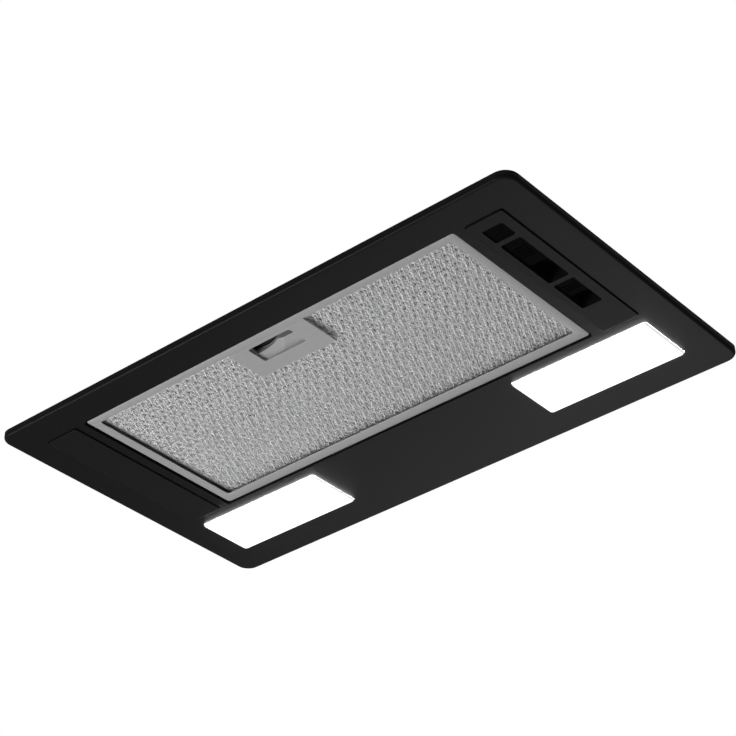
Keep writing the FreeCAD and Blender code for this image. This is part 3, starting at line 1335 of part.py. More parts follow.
def electrics():
    """Capacitor, terminal block and lamp driver under the roof of the control box."""
    roof = ROOF_Z - BOX_WALL
    can = rod_y(CAPACITOR_RADIUS, BOX_Y0 + CAPACITOR_LEAD, BOX_Y0 + CAPACITOR_LEAD + CAPACITOR_LENGTH,
                BOX_X0 + CAPACITOR_SIDE, roof - CAPACITOR_RADIUS)
    can = can.makeFillet(CAPACITOR_EDGE, circles(can))
    x1 = BOX_X1 - BLOCK_SIDE
    y0 = BOX_Y0 + BLOCK_LEAD
    y1 = y0 + BLOCK_DEPTH
    low = roof - BLOCK_HEIGHT
    strip = box(x1 - BLOCK_LENGTH, x1, y0, y1, low, roof)
    wells = [rod_z(POLE_RADIUS, low - OVERRUN, low + POLE_WELL,
                   x1 - BLOCK_LENGTH / 2 + (i - (BLOCK_POLES - 1) / 2) * POLE_PITCH, y)
             for i in range(BLOCK_POLES) for y in (y0 + POLE_SETBACK, y1 - POLE_SETBACK)]
    driver = slab((BOX_X0 + BOX_X1) / 2, BOX_Y1 - DRIVER_REAR, DRIVER_LENGTH, DRIVER_DEPTH,
                  DRIVER_CORNER, roof - DRIVER_HEIGHT, roof)
    return {"capacitor": can, "terminal_block": strip.cut(wells), "led_driver": driver}


def cable_gland():
    """Gland on the roof, with its nut inside the control box."""
    inside = ROOF_Z - BOX_WALL
    shoulder = HOUSING_TOP + GLAND_HEX_HEIGHT
    top = HOUSING_TOP + GLAND_HEIGHT
    stem = rod_z(GLAND_STEM, inside - GLAND_TAIL, shoulder, GLAND_X, GLAND_Y)
    cap = rod_z(GLAND_CAP, shoulder - OVERRUN, top, GLAND_X, GLAND_Y)
    cap = cap.makeFillet(GLAND_EDGE, edges_at(cap, top))
    hexed = hexagon(GLAND_HEX, GLAND_X, GLAND_Y, HOUSING_TOP, shoulder)
    bore = rod_z(GLAND_BORE, inside - GLAND_TAIL - OVERRUN, top + OVERRUN, GLAND_X, GLAND_Y)
    nut = hexagon(NUT_HEX, GLAND_X, GLAND_Y, inside - NUT_HEIGHT, inside)
    thread = rod_z(GLAND_STEM + SLIDE_FIT, inside - NUT_HEIGHT - OVERRUN, inside + OVERRUN, GLAND_X, GLAND_Y)
    return group([merged(stem, hexed, cap).cut(bore), nut.cut(thread)])


def nodes():
    parts = {
        "face_panel": face_panel(),
        "switch_bezel": switch_bezel(),
        "blank_bezel": blank_bezel(),
        "switch_board": switch_board(),
        "switch_bodies": switch_bodies(),
        "lamp_lens_left": lamp_lens(-LAMP_X),
        "lamp_lens_right": lamp_lens(LAMP_X),
        "lamp_tray_left": lamp_tray(-LAMP_X),
        "lamp_tray_right": lamp_tray(LAMP_X),
        "led_boards": group([led_board(-LAMP_X), led_board(LAMP_X)]),
        "led_chips": led_chips(),
        "housing_shell": housing_shell(),
        "end_plate_left": mirrored(end_plate()),
        "end_plate_right": end_plate(),
        "housing_rivets": housing_rivets(),
        "panel_brackets": panel_brackets(),
        "panel_screws": panel_screws(),
        "outlet_collar": outlet_collar(),
        "collar_screws": collar_screws(),
        "flap_pin": flap_pin(),
        "flap_front": flap(-1),
        "flap_rear": flap(1),
        "scroll_left": mirrored(scroll()),
        "scroll_right": scroll().cut(foot_holes()),
        "blower_screws": blower_screws(),
        "motor_grommets": motor_grommets(),
        "motor_bracket": motor_bracket(),
        "motor_shaft": motor_shaft(),
        "impeller": impeller(),
        "control_box": control_box(),
        "control_box_lid": control_box_lid(),
        "lid_screws": lid_screws(),
        "cable_gland": cable_gland(),
        "side_catch_left": mirrored(side_catch()),
        "side_catch_right": side_catch(),
        "catch_brackets": pair(catch_bracket()),
        "catch_pins": pair(catch_pin()),
        "catch_springs": pair(catch_spring()),
        "latch_strike": latch_strike(),
        "filter_frame": filter_frame(),
        "filter_tongues": pair(filter_tongue()),
        "latch_plate": latch_plate(),
        "latch_box": latch_box(),
        "latch_handle": latch_handle(),
        "latch_spring": latch_spring(),
    }
    parts.update(filter_layers())
    parts.update(knobs())
    parts.update(motor())
    parts.update(electrics())
    return parts


os.makedirs("parts", exist_ok=True)
for name, shape in nodes().items():
    shape.exportStep(os.path.join("parts", name + ".step"))
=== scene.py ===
"""Dresses the built-in range hood: a finish for every node, the expanded layers and the
folded frame of its filter, screws, rivets and leaf springs, and a plain studio."""

import bmesh
import bpy
import json
import math
from mathutils import Matrix, Vector


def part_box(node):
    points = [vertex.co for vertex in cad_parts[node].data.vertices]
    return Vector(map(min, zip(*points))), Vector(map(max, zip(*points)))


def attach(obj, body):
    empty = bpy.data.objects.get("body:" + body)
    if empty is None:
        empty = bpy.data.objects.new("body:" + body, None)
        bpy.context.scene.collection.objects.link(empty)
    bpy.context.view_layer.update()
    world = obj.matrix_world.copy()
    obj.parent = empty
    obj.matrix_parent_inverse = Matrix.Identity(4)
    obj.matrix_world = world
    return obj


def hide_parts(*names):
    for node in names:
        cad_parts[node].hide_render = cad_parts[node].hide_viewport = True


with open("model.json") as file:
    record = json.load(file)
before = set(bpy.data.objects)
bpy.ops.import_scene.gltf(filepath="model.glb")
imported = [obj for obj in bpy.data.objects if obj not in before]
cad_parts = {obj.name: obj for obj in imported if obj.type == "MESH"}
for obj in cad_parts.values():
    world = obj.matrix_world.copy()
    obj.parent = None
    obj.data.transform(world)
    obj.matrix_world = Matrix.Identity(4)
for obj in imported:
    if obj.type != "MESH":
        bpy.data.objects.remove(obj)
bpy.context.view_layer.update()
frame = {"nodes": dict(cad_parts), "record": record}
nodes = frame["nodes"]

MM = 0.001
NEAR = 0.01 * MM
ORIGIN = (0, 0, 0)
SMOOTH_ANGLE = math.radians(35)


# Node helpers


def add(tree, kind, **settings):
    """New node with its settings."""
    node = tree.nodes.new(kind)
    for key, value in settings.items():
        setattr(node, key, value)
    return node


def feed(tree, value, socket):
    """Gives a socket a number, or links another socket to it."""
    if isinstance(value, (int, float)):
        socket.default_value = value
    else:
        tree.links.new(value, socket)


def math_node(tree, operation, first, second):
    """Math node on sockets or numbers; returns its output."""
    node = add(tree, "ShaderNodeMath", operation=operation)
    feed(tree, first, node.inputs[0])
    feed(tree, second, node.inputs[1])
    return node.outputs[0]


def product(tree, first, *others):
    """Product of sockets and numbers."""
    for value in others:
        first = math_node(tree, "MULTIPLY", first, value)
    return first


def weigh(tree, first, second, weight):
    """Sum of two values, the first one by its weight and the second by the rest."""
    return math_node(tree, "ADD", product(tree, first, weight), product(tree, second, 1 - weight))


def ramp(tree, value, start, end, low=0.0, high=1.0):
    """Maps the range from start to end to the one between two sockets or numbers."""
    node = add(tree, "ShaderNodeMapRange")
    tree.links.new(value, node.inputs["Value"])
    for label, limit in (("From Min", start), ("From Max", end), ("To Min", low), ("To Max", high)):
        feed(tree, limit, node.inputs[label])
    return node.outputs["Result"]


def noise(tree, place, scale, detail=2.0):
    """Noise texture at a place, with a socket or a number as its scale."""
    node = add(tree, "ShaderNodeTexNoise")
    node.inputs["Detail"].default_value = detail
    tree.links.new(place, node.inputs["Vector"])
    feed(tree, scale, node.inputs["Scale"])
    return node


def blend_colours(tree, share, first, second):
    """First colour where the share is 0, second where it is 1."""
    node = add(tree, "ShaderNodeMix", data_type="RGBA")
    tree.links.new(share, node.inputs["Factor"])
    tree.links.new(first, node.inputs["A"])
    tree.links.new(second, node.inputs["B"])
    return node.outputs["Result"]


def blend_shaders(tree, share, first, second):
    """First shader where the share is 0, second where it is 1."""
    node = add(tree, "ShaderNodeMixShader")
    tree.links.new(share, node.inputs[0])
    tree.links.new(first.outputs[0], node.inputs[1])
    tree.links.new(second.outputs[0], node.inputs[2])
    return node.outputs[0]


# Shared surface effects, each one a node group

BLACK = (0, 0, 0, 1)
HOUSE_DUST = (0.32, 0.31, 0.29, 1)


def effect(name, inputs, outputs):
    """New node group with its sockets; returns the group, its input node and its output node."""
    group = bpy.data.node_groups.new(name, "ShaderNodeTree")
    for label, kind, value in inputs:
        socket = group.interface.new_socket(label, in_out="INPUT", socket_type=kind)
        if value is not None:
            socket.default_value = value
    for label, kind in outputs:
        group.interface.new_socket(label, in_out="OUTPUT", socket_type=kind)
    return group, group.nodes.new("NodeGroupInput"), group.nodes.new("NodeGroupOutput")


def texture_effect(name, *scales):
    """Group for a whole surface: its own scales with two tones and two roughnesses to mix."""
    inputs = [("Vector", "NodeSocketVector", None), *scales,
              ("Smooth", "NodeSocketFloat", None), ("Rough", "NodeSocketFloat", None),
              ("Tone A", "NodeSocketColor", BLACK), ("Tone B", "NodeSocketColor", BLACK)]
    outputs = [("Color", "NodeSocketColor"), ("Roughness", "NodeSocketFloat"),
               ("Height", "NodeSocketFloat")]
    return effect(name, inputs, outputs)


def put_out(tree, given, result, tone_share, rough_share, height):
    """Mixes the tones and roughnesses by their shares, and links all outputs."""
    colour = blend_colours(tree, tone_share, given.outputs["Tone A"], given.outputs["Tone B"])
    rough = ramp(tree, rough_share, 0.0, 1.0, given.outputs["Smooth"], given.outputs["Rough"])
    tree.links.new(colour, result.inputs["Color"])
    tree.links.new(rough, result.inputs["Roughness"])
    tree.links.new(height, result.inputs["Height"])


def build_grain():
    """Fine random relief with slow variation: powder coat, moulded plastic, castings."""
    tree, given, result = texture_effect(
        "fine_grain", ("Grain", "NodeSocketFloat", None), ("Patches", "NodeSocketFloat", 9.0))
    place = given.outputs["Vector"]
    fine = noise(tree, place, given.outputs["Grain"]).outputs["Fac"]
    slow = noise(tree, place, given.outputs["Patches"], detail=4.0).outputs["Fac"]
    share = weigh(tree, fine, slow, weight=0.4)
    put_out(tree, given, result, share, share, fine)
    return tree


def build_streaks():
    """Rolled or brushed lines along one axis, from a stretched noise."""
    tree, given, result = texture_effect("rolled_streaks", ("Stretch", "NodeSocketVector", None))
    place = given.outputs["Vector"]
    scaled = add(tree, "ShaderNodeVectorMath", operation="MULTIPLY")
    tree.links.new(place, scaled.inputs[0])
    tree.links.new(given.outputs["Stretch"], scaled.inputs[1])
    lines = noise(tree, scaled.outputs[0], scale=1.0, detail=3.0).outputs["Fac"]
    slow = noise(tree, place, scale=12.0).outputs["Fac"]
    share = weigh(tree, lines, slow, weight=0.7)
    put_out(tree, given, result, share, share, lines)
    return tree


def build_spangle():
    """Frosted zinc flowers of hot-dip galvanised sheet."""
    tree, given, result = texture_effect("zinc_spangle", ("Flowers", "NodeSocketFloat", None))
    place = given.outputs["Vector"]
    waver = 6 * MM
    pushed = add(tree, "ShaderNodeVectorMath", operation="MULTIPLY_ADD")
    tree.links.new(noise(tree, place, scale=90.0).outputs["Color"], pushed.inputs[0])
    pushed.inputs[1].default_value = (waver, waver, waver)
    tree.links.new(place, pushed.inputs[2])
    cells = add(tree, "ShaderNodeTexVoronoi")
    tree.links.new(pushed.outputs[0], cells.inputs["Vector"])
    tree.links.new(given.outputs["Flowers"], cells.inputs["Scale"])
    tone = add(tree, "ShaderNodeSeparateColor")
    tree.links.new(cells.outputs["Color"], tone.inputs[0])
    put_out(tree, given, result, tone.outputs["Red"], tone.outputs["Green"], cells.outputs["Distance"])
    return tree


def build_edge_rub():
    """Mask of the outer edges, where a coat is rubbed brighter."""
    tree, given, result = effect(
        "edge_rub",
        [("Vector", "NodeSocketVector", None), ("Reach", "NodeSocketFloat", 1.2 * MM),
         ("Amount", "NodeSocketFloat", 0.5), ("Color", "NodeSocketColor", BLACK),
         ("Rubbed", "NodeSocketColor", BLACK)],
        [("Color", "NodeSocketColor"), ("Mask", "NodeSocketFloat")])
    soft = add(tree, "ShaderNodeBevel", samples=4)
    tree.links.new(given.outputs["Reach"], soft.inputs["Radius"])
    sharp = add(tree, "ShaderNodeNewGeometry")
    turn = add(tree, "ShaderNodeVectorMath", operation="DOT_PRODUCT")
    tree.links.new(soft.outputs["Normal"], turn.inputs[0])
    tree.links.new(sharp.outputs["Normal"], turn.inputs[1])
    edge = ramp(tree, turn.outputs["Value"], start=0.995, end=0.9)
    patchy = noise(tree, given.outputs["Vector"], scale=160.0).outputs["Fac"]
    mask = product(tree, edge, patchy, given.outputs["Amount"])
    colour = blend_colours(tree, mask, given.outputs["Color"], given.outputs["Rubbed"])
    tree.links.new(colour, result.inputs["Color"])
    tree.links.new(mask, result.inputs["Mask"])
    return tree


def build_dust():
    """Thin dust that settles on what faces up."""
    tree, given, result = effect(
        "settled_dust",
        [("Vector", "NodeSocketVector", None), ("Amount", "NodeSocketFloat", 0.2),
         ("Color", "NodeSocketColor", BLACK), ("Dust", "NodeSocketColor", HOUSE_DUST),
         ("Roughness", "NodeSocketFloat", 0.5)],
        [("Color", "NodeSocketColor"), ("Roughness", "NodeSocketFloat")])
    face = add(tree, "ShaderNodeNewGeometry")
    parts = add(tree, "ShaderNodeSeparateXYZ")
    tree.links.new(face.outputs["Normal"], parts.inputs[0])
    up = ramp(tree, parts.outputs["Z"], start=0.6, end=1.0)
    cloud = noise(tree, given.outputs["Vector"], scale=22.0, detail=6.0).outputs["Fac"]
    mask = product(tree, up, cloud, given.outputs["Amount"])
    colour = blend_colours(tree, mask, given.outputs["Color"], given.outputs["Dust"])
    rough = ramp(tree, mask, 0.0, 1.0, low=given.outputs["Roughness"], high=0.9)
    tree.links.new(colour, result.inputs["Color"])
    tree.links.new(rough, result.inputs["Roughness"])
    return tree


GRAIN = build_grain()
STREAKS = build_streaks()
SPANGLE = build_spangle()
EDGE_RUB = build_edge_rub()
DUST = build_dust()


# Finishes

LENS_GLOW = 0.5
LAMP_BEAM = 20.0


def grey(value, tint=0.0):
    """Grey with a slight blue tint."""
    return (value * (1 - tint), value, value * (1 + tint), 1.0)


def start_finish(name):
    """New material; returns it with its tree and its shader."""
    finish = bpy.data.materials.new(name)
    finish.use_nodes = True
    return finish, finish.node_tree, finish.node_tree.nodes["Principled BSDF"]


def place_effect(tree, group, **values):
    """Group node on Object coordinates with its values."""
    node = add(tree, "ShaderNodeGroup", node_tree=group)
    place = add(tree, "ShaderNodeTexCoord")
    tree.links.new(place.outputs["Object"], node.inputs["Vector"])
    for label, value in values.items():
        node.inputs[label.replace("_", " ")].default_value = value
    return node


def relief(tree, shader, height, strength, depth):
    """Bump of a given depth in metres."""
    bump = add(tree, "ShaderNodeBump")
    bump.inputs["Strength"].default_value = strength
    bump.inputs["Distance"].default_value = depth
    tree.links.new(height, bump.inputs["Height"])
    tree.links.new(bump.outputs["Normal"], shader.inputs["Normal"])


def surface(name, group, metallic=0.0, specular=0.5, bump=0.2, depth=0.1 * MM, dust=0.0, rub=None,
            **values):
    """Finish from one texture effect, with rubbed edges and dust where asked."""
    finish, tree, shader = start_finish(name)
    shader.inputs["Metallic"].default_value = metallic
    shader.inputs["Specular IOR Level"].default_value = specular
    texture = place_effect(tree, group, **values)
    colour = texture.outputs["Color"]
    rough = texture.outputs["Roughness"]
    if rub:
        amount, rubbed = rub
        edges = place_effect(tree, EDGE_RUB, Amount=amount, Rubbed=rubbed)
        tree.links.new(colour, edges.inputs["Color"])
        colour = edges.outputs["Color"]
    if dust:
        settled = place_effect(tree, DUST, Amount=dust)
        tree.links.new(colour, settled.inputs["Color"])
        tree.links.new(rough, settled.inputs["Roughness"])
        colour = settled.outputs["Color"]
        rough = settled.outputs["Roughness"]
    tree.links.new(colour, shader.inputs["Base Color"])
    tree.links.new(rough, shader.inputs["Roughness"])
    relief(tree, shader, texture.outputs["Height"], bump, depth)
    return finish


def lit_lens(name):
    """Opal cover lit from behind: white to the eye, and as strong as a lamp on what is round it."""
    finish, tree, shader = start_finish(name)
    texture = place_effect(tree, GRAIN, Grain=900.0, Smooth=0.2, Rough=0.3,
                           Tone_A=grey(0.9), Tone_B=grey(0.95))
    tree.links.new(texture.outputs["Color"], shader.inputs["Base Color"])
    tree.links.new(texture.outputs["Roughness"], shader.inputs["Roughness"])
    shader.inputs["Emission Color"].default_value = grey(1.0)
    shader.inputs["Emission Strength"].default_value = LENS_GLOW
    beam = add(tree, "ShaderNodeEmission")
    path = add(tree, "ShaderNodeLightPath")
    unseen = math_node(tree, "SUBTRACT", 1.0, path.outputs["Is Camera Ray"])
    tree.links.new(product(tree, unseen, LAMP_BEAM), beam.inputs["Strength"])
    both = add(tree, "ShaderNodeAddShader")
    tree.links.new(shader.outputs[0], both.inputs[0])
    tree.links.new(beam.outputs[0], both.inputs[1])
    tree.links.new(both.outputs[0], tree.nodes["Material Output"].inputs["Surface"])
    return finish


FINISHES = {
    "panel_black": surface(
        "satin_black_coat", GRAIN, specular=0.05, bump=0.25, depth=0.06 * MM, rub=(0.3, grey(0.02)),
        Grain=1700.0, Patches=6.0, Smooth=0.34, Rough=0.44, Tone_A=grey(0.005), Tone_B=grey(0.007)),
    "insert_black": surface(
        "moulded_black_insert", GRAIN, specular=0.05, bump=0.3, depth=0.08 * MM, rub=(0.3, grey(0.02)),
        Grain=2600.0, Patches=14.0, Smooth=0.38, Rough=0.5, Tone_A=grey(0.006), Tone_B=grey(0.008)),
    "switch_black": surface(
        "switch_black", GRAIN, specular=0.01, bump=0.15, depth=0.05 * MM, rub=(0.3, grey(0.008)),
        Grain=3000.0, Smooth=0.45, Rough=0.6, Tone_A=grey(0.0008), Tone_B=grey(0.0014)),
    "filter_aluminium": surface(
        "rolled_aluminium", STREAKS, metallic=1.0, bump=0.12, depth=0.05 * MM, rub=(0.3, grey(0.7)),
        Stretch=(30.0, 900.0, 900.0), Smooth=0.68, Rough=0.8, Tone_A=grey(0.37), Tone_B=grey(0.45)),
    "latch_grey": surface(
        "satin_grey_latch", STREAKS, metallic=0.9, bump=0.08, depth=0.04 * MM, rub=(0.3, grey(0.8)),
        Stretch=(40.0, 500.0, 500.0), Smooth=0.62, Rough=0.75, Tone_A=grey(0.36), Tone_B=grey(0.44)),
    "latch_dark": surface(
        "dark_latch_box", GRAIN, specular=0.2, bump=0.2, depth=0.06 * MM,
        Grain=2000.0, Smooth=0.5, Rough=0.65, Tone_A=grey(0.006), Tone_B=grey(0.01)),
    "lamp_opal": lit_lens("lit_opal_lens"),
    "lamp_white": surface(
        "white_lamp_tray", GRAIN, bump=0.15, depth=0.06 * MM, dust=0.25,
        Grain=1500.0, Smooth=0.42, Rough=0.58, Tone_A=grey(0.74), Tone_B=grey(0.8)),
    "board_green": surface(
        "solder_mask", STREAKS, bump=0.2, depth=0.05 * MM,
        Stretch=(500.0, 120.0, 300.0), Smooth=0.25, Rough=0.4,
        Tone_A=(0.015, 0.12, 0.045, 1), Tone_B=(0.03, 0.2, 0.08, 1)),
    "board_black": surface(
        "black_solder_mask", STREAKS, specular=0.05, bump=0.2, depth=0.05 * MM,
        Stretch=(500.0, 120.0, 300.0), Smooth=0.4, Rough=0.55, Tone_A=grey(0.002), Tone_B=grey(0.004)),
    "led_yellow": surface(
        "led_phosphor", GRAIN, bump=0.1, depth=0.04 * MM,
        Grain=3000.0, Smooth=0.3, Rough=0.45,
        Tone_A=(0.75, 0.55, 0.08, 1), Tone_B=(0.9, 0.72, 0.16, 1)),
    "galvanised": surface(
        "galvanised_sheet", SPANGLE, metallic=0.95, bump=0.08, depth=0.04 * MM, dust=0.2,
        rub=(0.4, grey(0.6)), Flowers=150.0, Smooth=0.56, Rough=0.7,
        Tone_A=grey(0.36, 0.02), Tone_B=grey(0.45, 0.02)),
    "zinc": surface(
        "bright_zinc", STREAKS, metallic=1.0, bump=0.1, depth=0.04 * MM, rub=(0.5, grey(0.85)),
        Stretch=(300.0, 300.0, 300.0), Smooth=0.22, Rough=0.36,
        Tone_A=grey(0.6, 0.02), Tone_B=grey(0.72, 0.02)),
    "duct_black": surface(
        "moulded_duct_black", GRAIN, specular=0.4, bump=0.35, dust=0.2, rub=(0.5, grey(0.07)),
        Grain=1200.0, Patches=18.0, Smooth=0.4, Rough=0.58, Tone_A=grey(0.018), Tone_B=grey(0.028)),
    "scroll_grey": surface(
        "moulded_scroll_grey", GRAIN, bump=0.3, dust=0.3,
        Grain=1100.0, Patches=16.0, Smooth=0.45, Rough=0.6, Tone_A=grey(0.1), Tone_B=grey(0.15)),
    "motor_alloy": surface(
        "cast_motor_alloy", GRAIN, metallic=1.0, bump=0.4, depth=0.15 * MM,
        Grain=700.0, Smooth=0.38, Rough=0.55, Tone_A=grey(0.5), Tone_B=grey(0.62)),
    "motor_core": surface(
        "laminated_core", STREAKS, metallic=0.8, bump=0.5, depth=0.2 * MM,
        Stretch=(2200.0, 12.0, 12.0), Smooth=0.4, Rough=0.6, Tone_A=grey(0.16), Tone_B=grey(0.3)),
    "copper": surface(
        "enamelled_copper", STREAKS, metallic=1.0, bump=0.8, depth=0.4 * MM,
        Stretch=(1400.0, 60.0, 60.0), Smooth=0.25, Rough=0.45,
        Tone_A=(0.5, 0.2, 0.08, 1), Tone_B=(0.75, 0.36, 0.17, 1)),
    "bronze": surface(
        "sintered_bronze", GRAIN, metallic=1.0, bump=0.3,
        Grain=1800.0, Smooth=0.35, Rough=0.55,
        Tone_A=(0.42, 0.27, 0.1, 1), Tone_B=(0.58, 0.38, 0.17, 1)),
    "steel": surface(
        "ground_steel", STREAKS, metallic=1.0, bump=0.1, depth=0.04 * MM,
        Stretch=(40.0, 700.0, 700.0), Smooth=0.2, Rough=0.34, Tone_A=grey(0.52), Tone_B=grey(0.64)),
    "rubber": surface(
        "grommet_rubber", GRAIN, specular=0.3, bump=0.3,
        Grain=1500.0, Smooth=0.6, Rough=0.8, Tone_A=grey(0.012), Tone_B=grey(0.022)),
    "box_white": surface(
        "moulded_white_box", GRAIN, bump=0.25, depth=0.08 * MM, dust=0.2,
        Grain=1500.0, Patches=14.0, Smooth=0.4, Rough=0.55, Tone_A=grey(0.66), Tone_B=grey(0.72)),
    "catch_plastic": surface(
        "moulded_catch", GRAIN, specular=0.4, bump=0.3, depth=0.08 * MM, rub=(0.5, grey(0.08)),
        Grain=1600.0, Smooth=0.38, Rough=0.52, Tone_A=grey(0.025), Tone_B=grey(0.036)),
}

# The strands are the filter's aluminium painted lighter than its frame, and the deep core lightest of
# all: painted light that makes up for the shade in and behind the open mesh.
FACE_STRANDS_PAINTED_LIGHT = surface(
    "drawn_strands_painted_light", STREAKS, metallic=1.0, bump=0.1, depth=0.04 * MM,
    Stretch=(300.0, 300.0, 300.0), Smooth=0.7, Rough=0.85, Tone_A=grey(0.58), Tone_B=grey(0.69))
CORE_STRANDS_PAINTED_LIGHT = surface(
    "core_strands_painted_light", STREAKS, metallic=1.0, bump=0.1, depth=0.04 * MM,
    Stretch=(300.0, 300.0, 300.0), Smooth=0.7, Rough=0.85, Tone_A=grey(0.86), Tone_B=grey(0.96))


def dress(piece, finish):
    """Gives a piece one finish all over."""
    piece.data.materials.clear()
    piece.data.materials.append(finish)


for subpart in frame["record"]["subparts"]:
    dress(nodes[subpart["node"]], FINISHES[subpart["material_slot"]])


# Modelling helpers


def begin():
    """Nothing selected, so that the next operator acts on the new piece alone."""
    if bpy.context.object and bpy.context.object.mode != "OBJECT":
        bpy.ops.object.mode_set(mode="OBJECT")
    bpy.ops.object.select_all(action="DESELECT")


def named(name):
    """Names the piece at work and its mesh."""
    piece = bpy.context.object
    piece.name = name
    piece.data.name = name
    return piece


def edit():
    """Opens the piece at work for editing, with all of it selected."""
    bpy.ops.object.mode_set(mode="EDIT")
    bpy.ops.mesh.select_all(action="SELECT")


def pick(piece, test, domain="faces"):
    """Selects in edit mode the faces, edges or points that pass a test."""
    kind = {"faces": "FACE", "edges": "EDGE", "verts": "VERT"}[domain]
    bpy.ops.mesh.select_mode(type=kind)
    bpy.ops.mesh.select_all(action="DESELECT")
    shape = bmesh.from_edit_mesh(piece.data)
    for element in getattr(shape, domain):
        if test(element):
            element.select_set(True)
    shape.select_flush_mode()
    bmesh.update_edit_mesh(piece.data)


def modify(piece, kind, **settings):
    """Adds a modifier with its settings and applies it."""
    modifier = piece.modifiers.new(kind.lower(), kind)
    for key, value in settings.items():
        setattr(modifier, key, value)
    bpy.ops.object.modifier_apply(modifier=modifier.name)


def end_piece():
    """Closes the editing: faces outwards, shaded smooth up to an angle."""
    bpy.ops.mesh.select_all(action="SELECT")
    bpy.ops.mesh.normals_make_consistent(inside=False)
    bpy.ops.object.mode_set(mode="OBJECT")
    bpy.ops.object.shade_smooth_by_angle(angle=SMOOTH_ANGLE)


def start_block(name, size, middle):
    """Box of a size round a point, open for editing."""
    begin()
    bpy.ops.mesh.primitive_cube_add(size=1)
    block = named(name)
    edit()
    bpy.ops.transform.resize(value=size, center_override=ORIGIN)
    bpy.ops.transform.translate(value=middle)
    return block


def cut_out(piece, cutter):
    """Cuts the cutter's shape out of a piece and removes the cutter."""
    begin()
    bpy.context.view_layer.objects.active = piece
    piece.select_set(True)
    modify(piece, "BOOLEAN", operation="DIFFERENCE", object=cutter)
    bpy.data.objects.remove(cutter)


def own_copy(piece, place):
    """Copy with its own mesh, put to its place by a matrix."""
    copy = piece.copy()
    copy.data = piece.data.copy()
    copy.data.transform(place)
    bpy.context.scene.collection.objects.link(copy)
    return copy


def join(name, pieces):
    """Makes one piece of several."""
    begin()
    for piece in pieces:
        piece.select_set(True)
    bpy.context.view_layer.objects.active = pieces[0]
    bpy.ops.object.join()
    return named(name)


def settle(piece, body, slot, *replaced, finish=None):
    """Puts the finished piece on its body in place of the nodes that it stands for."""
    dress(piece, finish or FINISHES[slot])
    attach(piece, body)
    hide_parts(*replaced)


# Expanded-metal layers of the grease filter

# A mesh is its diamond's short way, its long way and the breadth of its strands. The core's levels are
# shares of its height, and the room round the latch's housing is in strands.
BORDER_LOW = Vector((8.2, 8.0, 0)) * MM
BORDER_HIGH = Vector((8.2, 10.0, 0)) * MM
FRAME_LOW, FRAME_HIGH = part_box("filter_frame")
WINDOW_LOW = (FRAME_LOW + BORDER_LOW) * Vector((1, 1, 0))
WINDOW_HIGH = (FRAME_HIGH - BORDER_HIGH) * Vector((1, 1, 0))
FACE_MESH = (3.56 * MM, 6.25 * MM, 1.2 * MM)
CORE_MESH = (5.5 * MM, 12.8 * MM, 2.1 * MM)
CORE_LEVELS = (0.32, 0.5, 0.68)
FACE_SINK = 1.7 * MM
KNUCKLE_RISE = 0.8 * MM
FLATTEN = 0.45
UNEVEN = 0.33 * MM
SPARE_CELLS = 6
LATCH_ROOM = 0.6


def diamond_grid(name, size, pitch):
    """Square grid turned into diamonds, whose rows of knuckles stand in turn high and low."""
    begin()
    cells = int(size.x / pitch.x + size.y / pitch.y) + SPARE_CELLS
    bpy.ops.mesh.primitive_grid_add(x_subdivisions=cells, y_subdivisions=cells, size=math.sqrt(2))
    grid = named(name)
    cells = round(math.sqrt(len(grid.data.vertices))) - 1
    drawn = (cells * pitch.x / 2, cells * pitch.y / 2, 1)
    edit()
    bpy.ops.transform.rotate(value=math.pi / 4, orient_axis="Z", center_override=ORIGIN)
    bpy.ops.transform.resize(value=drawn, center_override=ORIGIN)
    pick(grid, lambda v: round(v.co.x / (pitch.x / 2)) % 2 == 1, "verts")
    bpy.ops.transform.translate(value=(0, 0, KNUCKLE_RISE))
    bpy.ops.mesh.select_all(action="SELECT")
    return grid


def trim_layer(low, high, strand):
    """Cuts the layer at work off half a strand inside its box."""
    for axis in (0, 1):
        for corner, turn in ((low, -1), (high, 1)):
            normal = Vector(ORIGIN)
            normal[axis] = turn
            bpy.ops.mesh.select_all(action="SELECT")
            bpy.ops.mesh.bisect(plane_co=corner - normal * strand / 2, plane_no=normal,
                                clear_outer=True, use_fill=False)


def leave_latch_room(layer, pitch, strand):
    """Takes the layer away where the latch's housing stands."""
    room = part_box("latch_box")[1] + Vector((strand, strand, 0)) * LATCH_ROOM
    edge = Vector((NEAR, NEAR, 0))

    def within(face, reach):
        return all(abs(v.co.x) < reach.x and v.co.y < reach.y for v in face.verts)

    for place, normal in ((-room.x, (1, 0, 0)), (room.x, (1, 0, 0)), (room.y, (0, 1, 0))):
        pick(layer, lambda f: within(f, room + pitch))
        bpy.ops.mesh.bisect(plane_co=Vector(normal) * place, plane_no=normal)
    pick(layer, lambda f: within(f, room + edge))
    bpy.ops.mesh.delete(type="FACE")


def diamond_layer(name, node, mesh, level, shift):
    """Layer of slit and drawn sheet at a level of the filter, with uneven knuckles."""
    short_way, long_way, strand = mesh
    pitch = Vector((short_way, long_way, 0))
    low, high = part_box(node)
    low.x, high.x = WINDOW_LOW.x, WINDOW_HIGH.x
    middle = (low + high) / 2
    middle.z = level
    own_seed = int(1e6 * level) % 97
    layer = diamond_grid(name, high - low, pitch)
    bpy.ops.transform.vertex_random(offset=UNEVEN, seed=own_seed)
    bpy.ops.transform.translate(value=middle + Vector((shift, 0, -KNUCKLE_RISE / 2)))
    trim_layer(low, high, strand)
    leave_latch_room(layer, pitch, strand)
    bpy.ops.object.mode_set(mode="OBJECT")
    modify(layer, "WIREFRAME", thickness=strand, use_even_offset=False, use_boundary=True)
    edit()
    bpy.ops.transform.resize(value=(1, 1, FLATTEN), center_override=middle)
    bpy.ops.mesh.normals_make_consistent(inside=False)
    bpy.ops.object.mode_set(mode="OBJECT")
    return layer


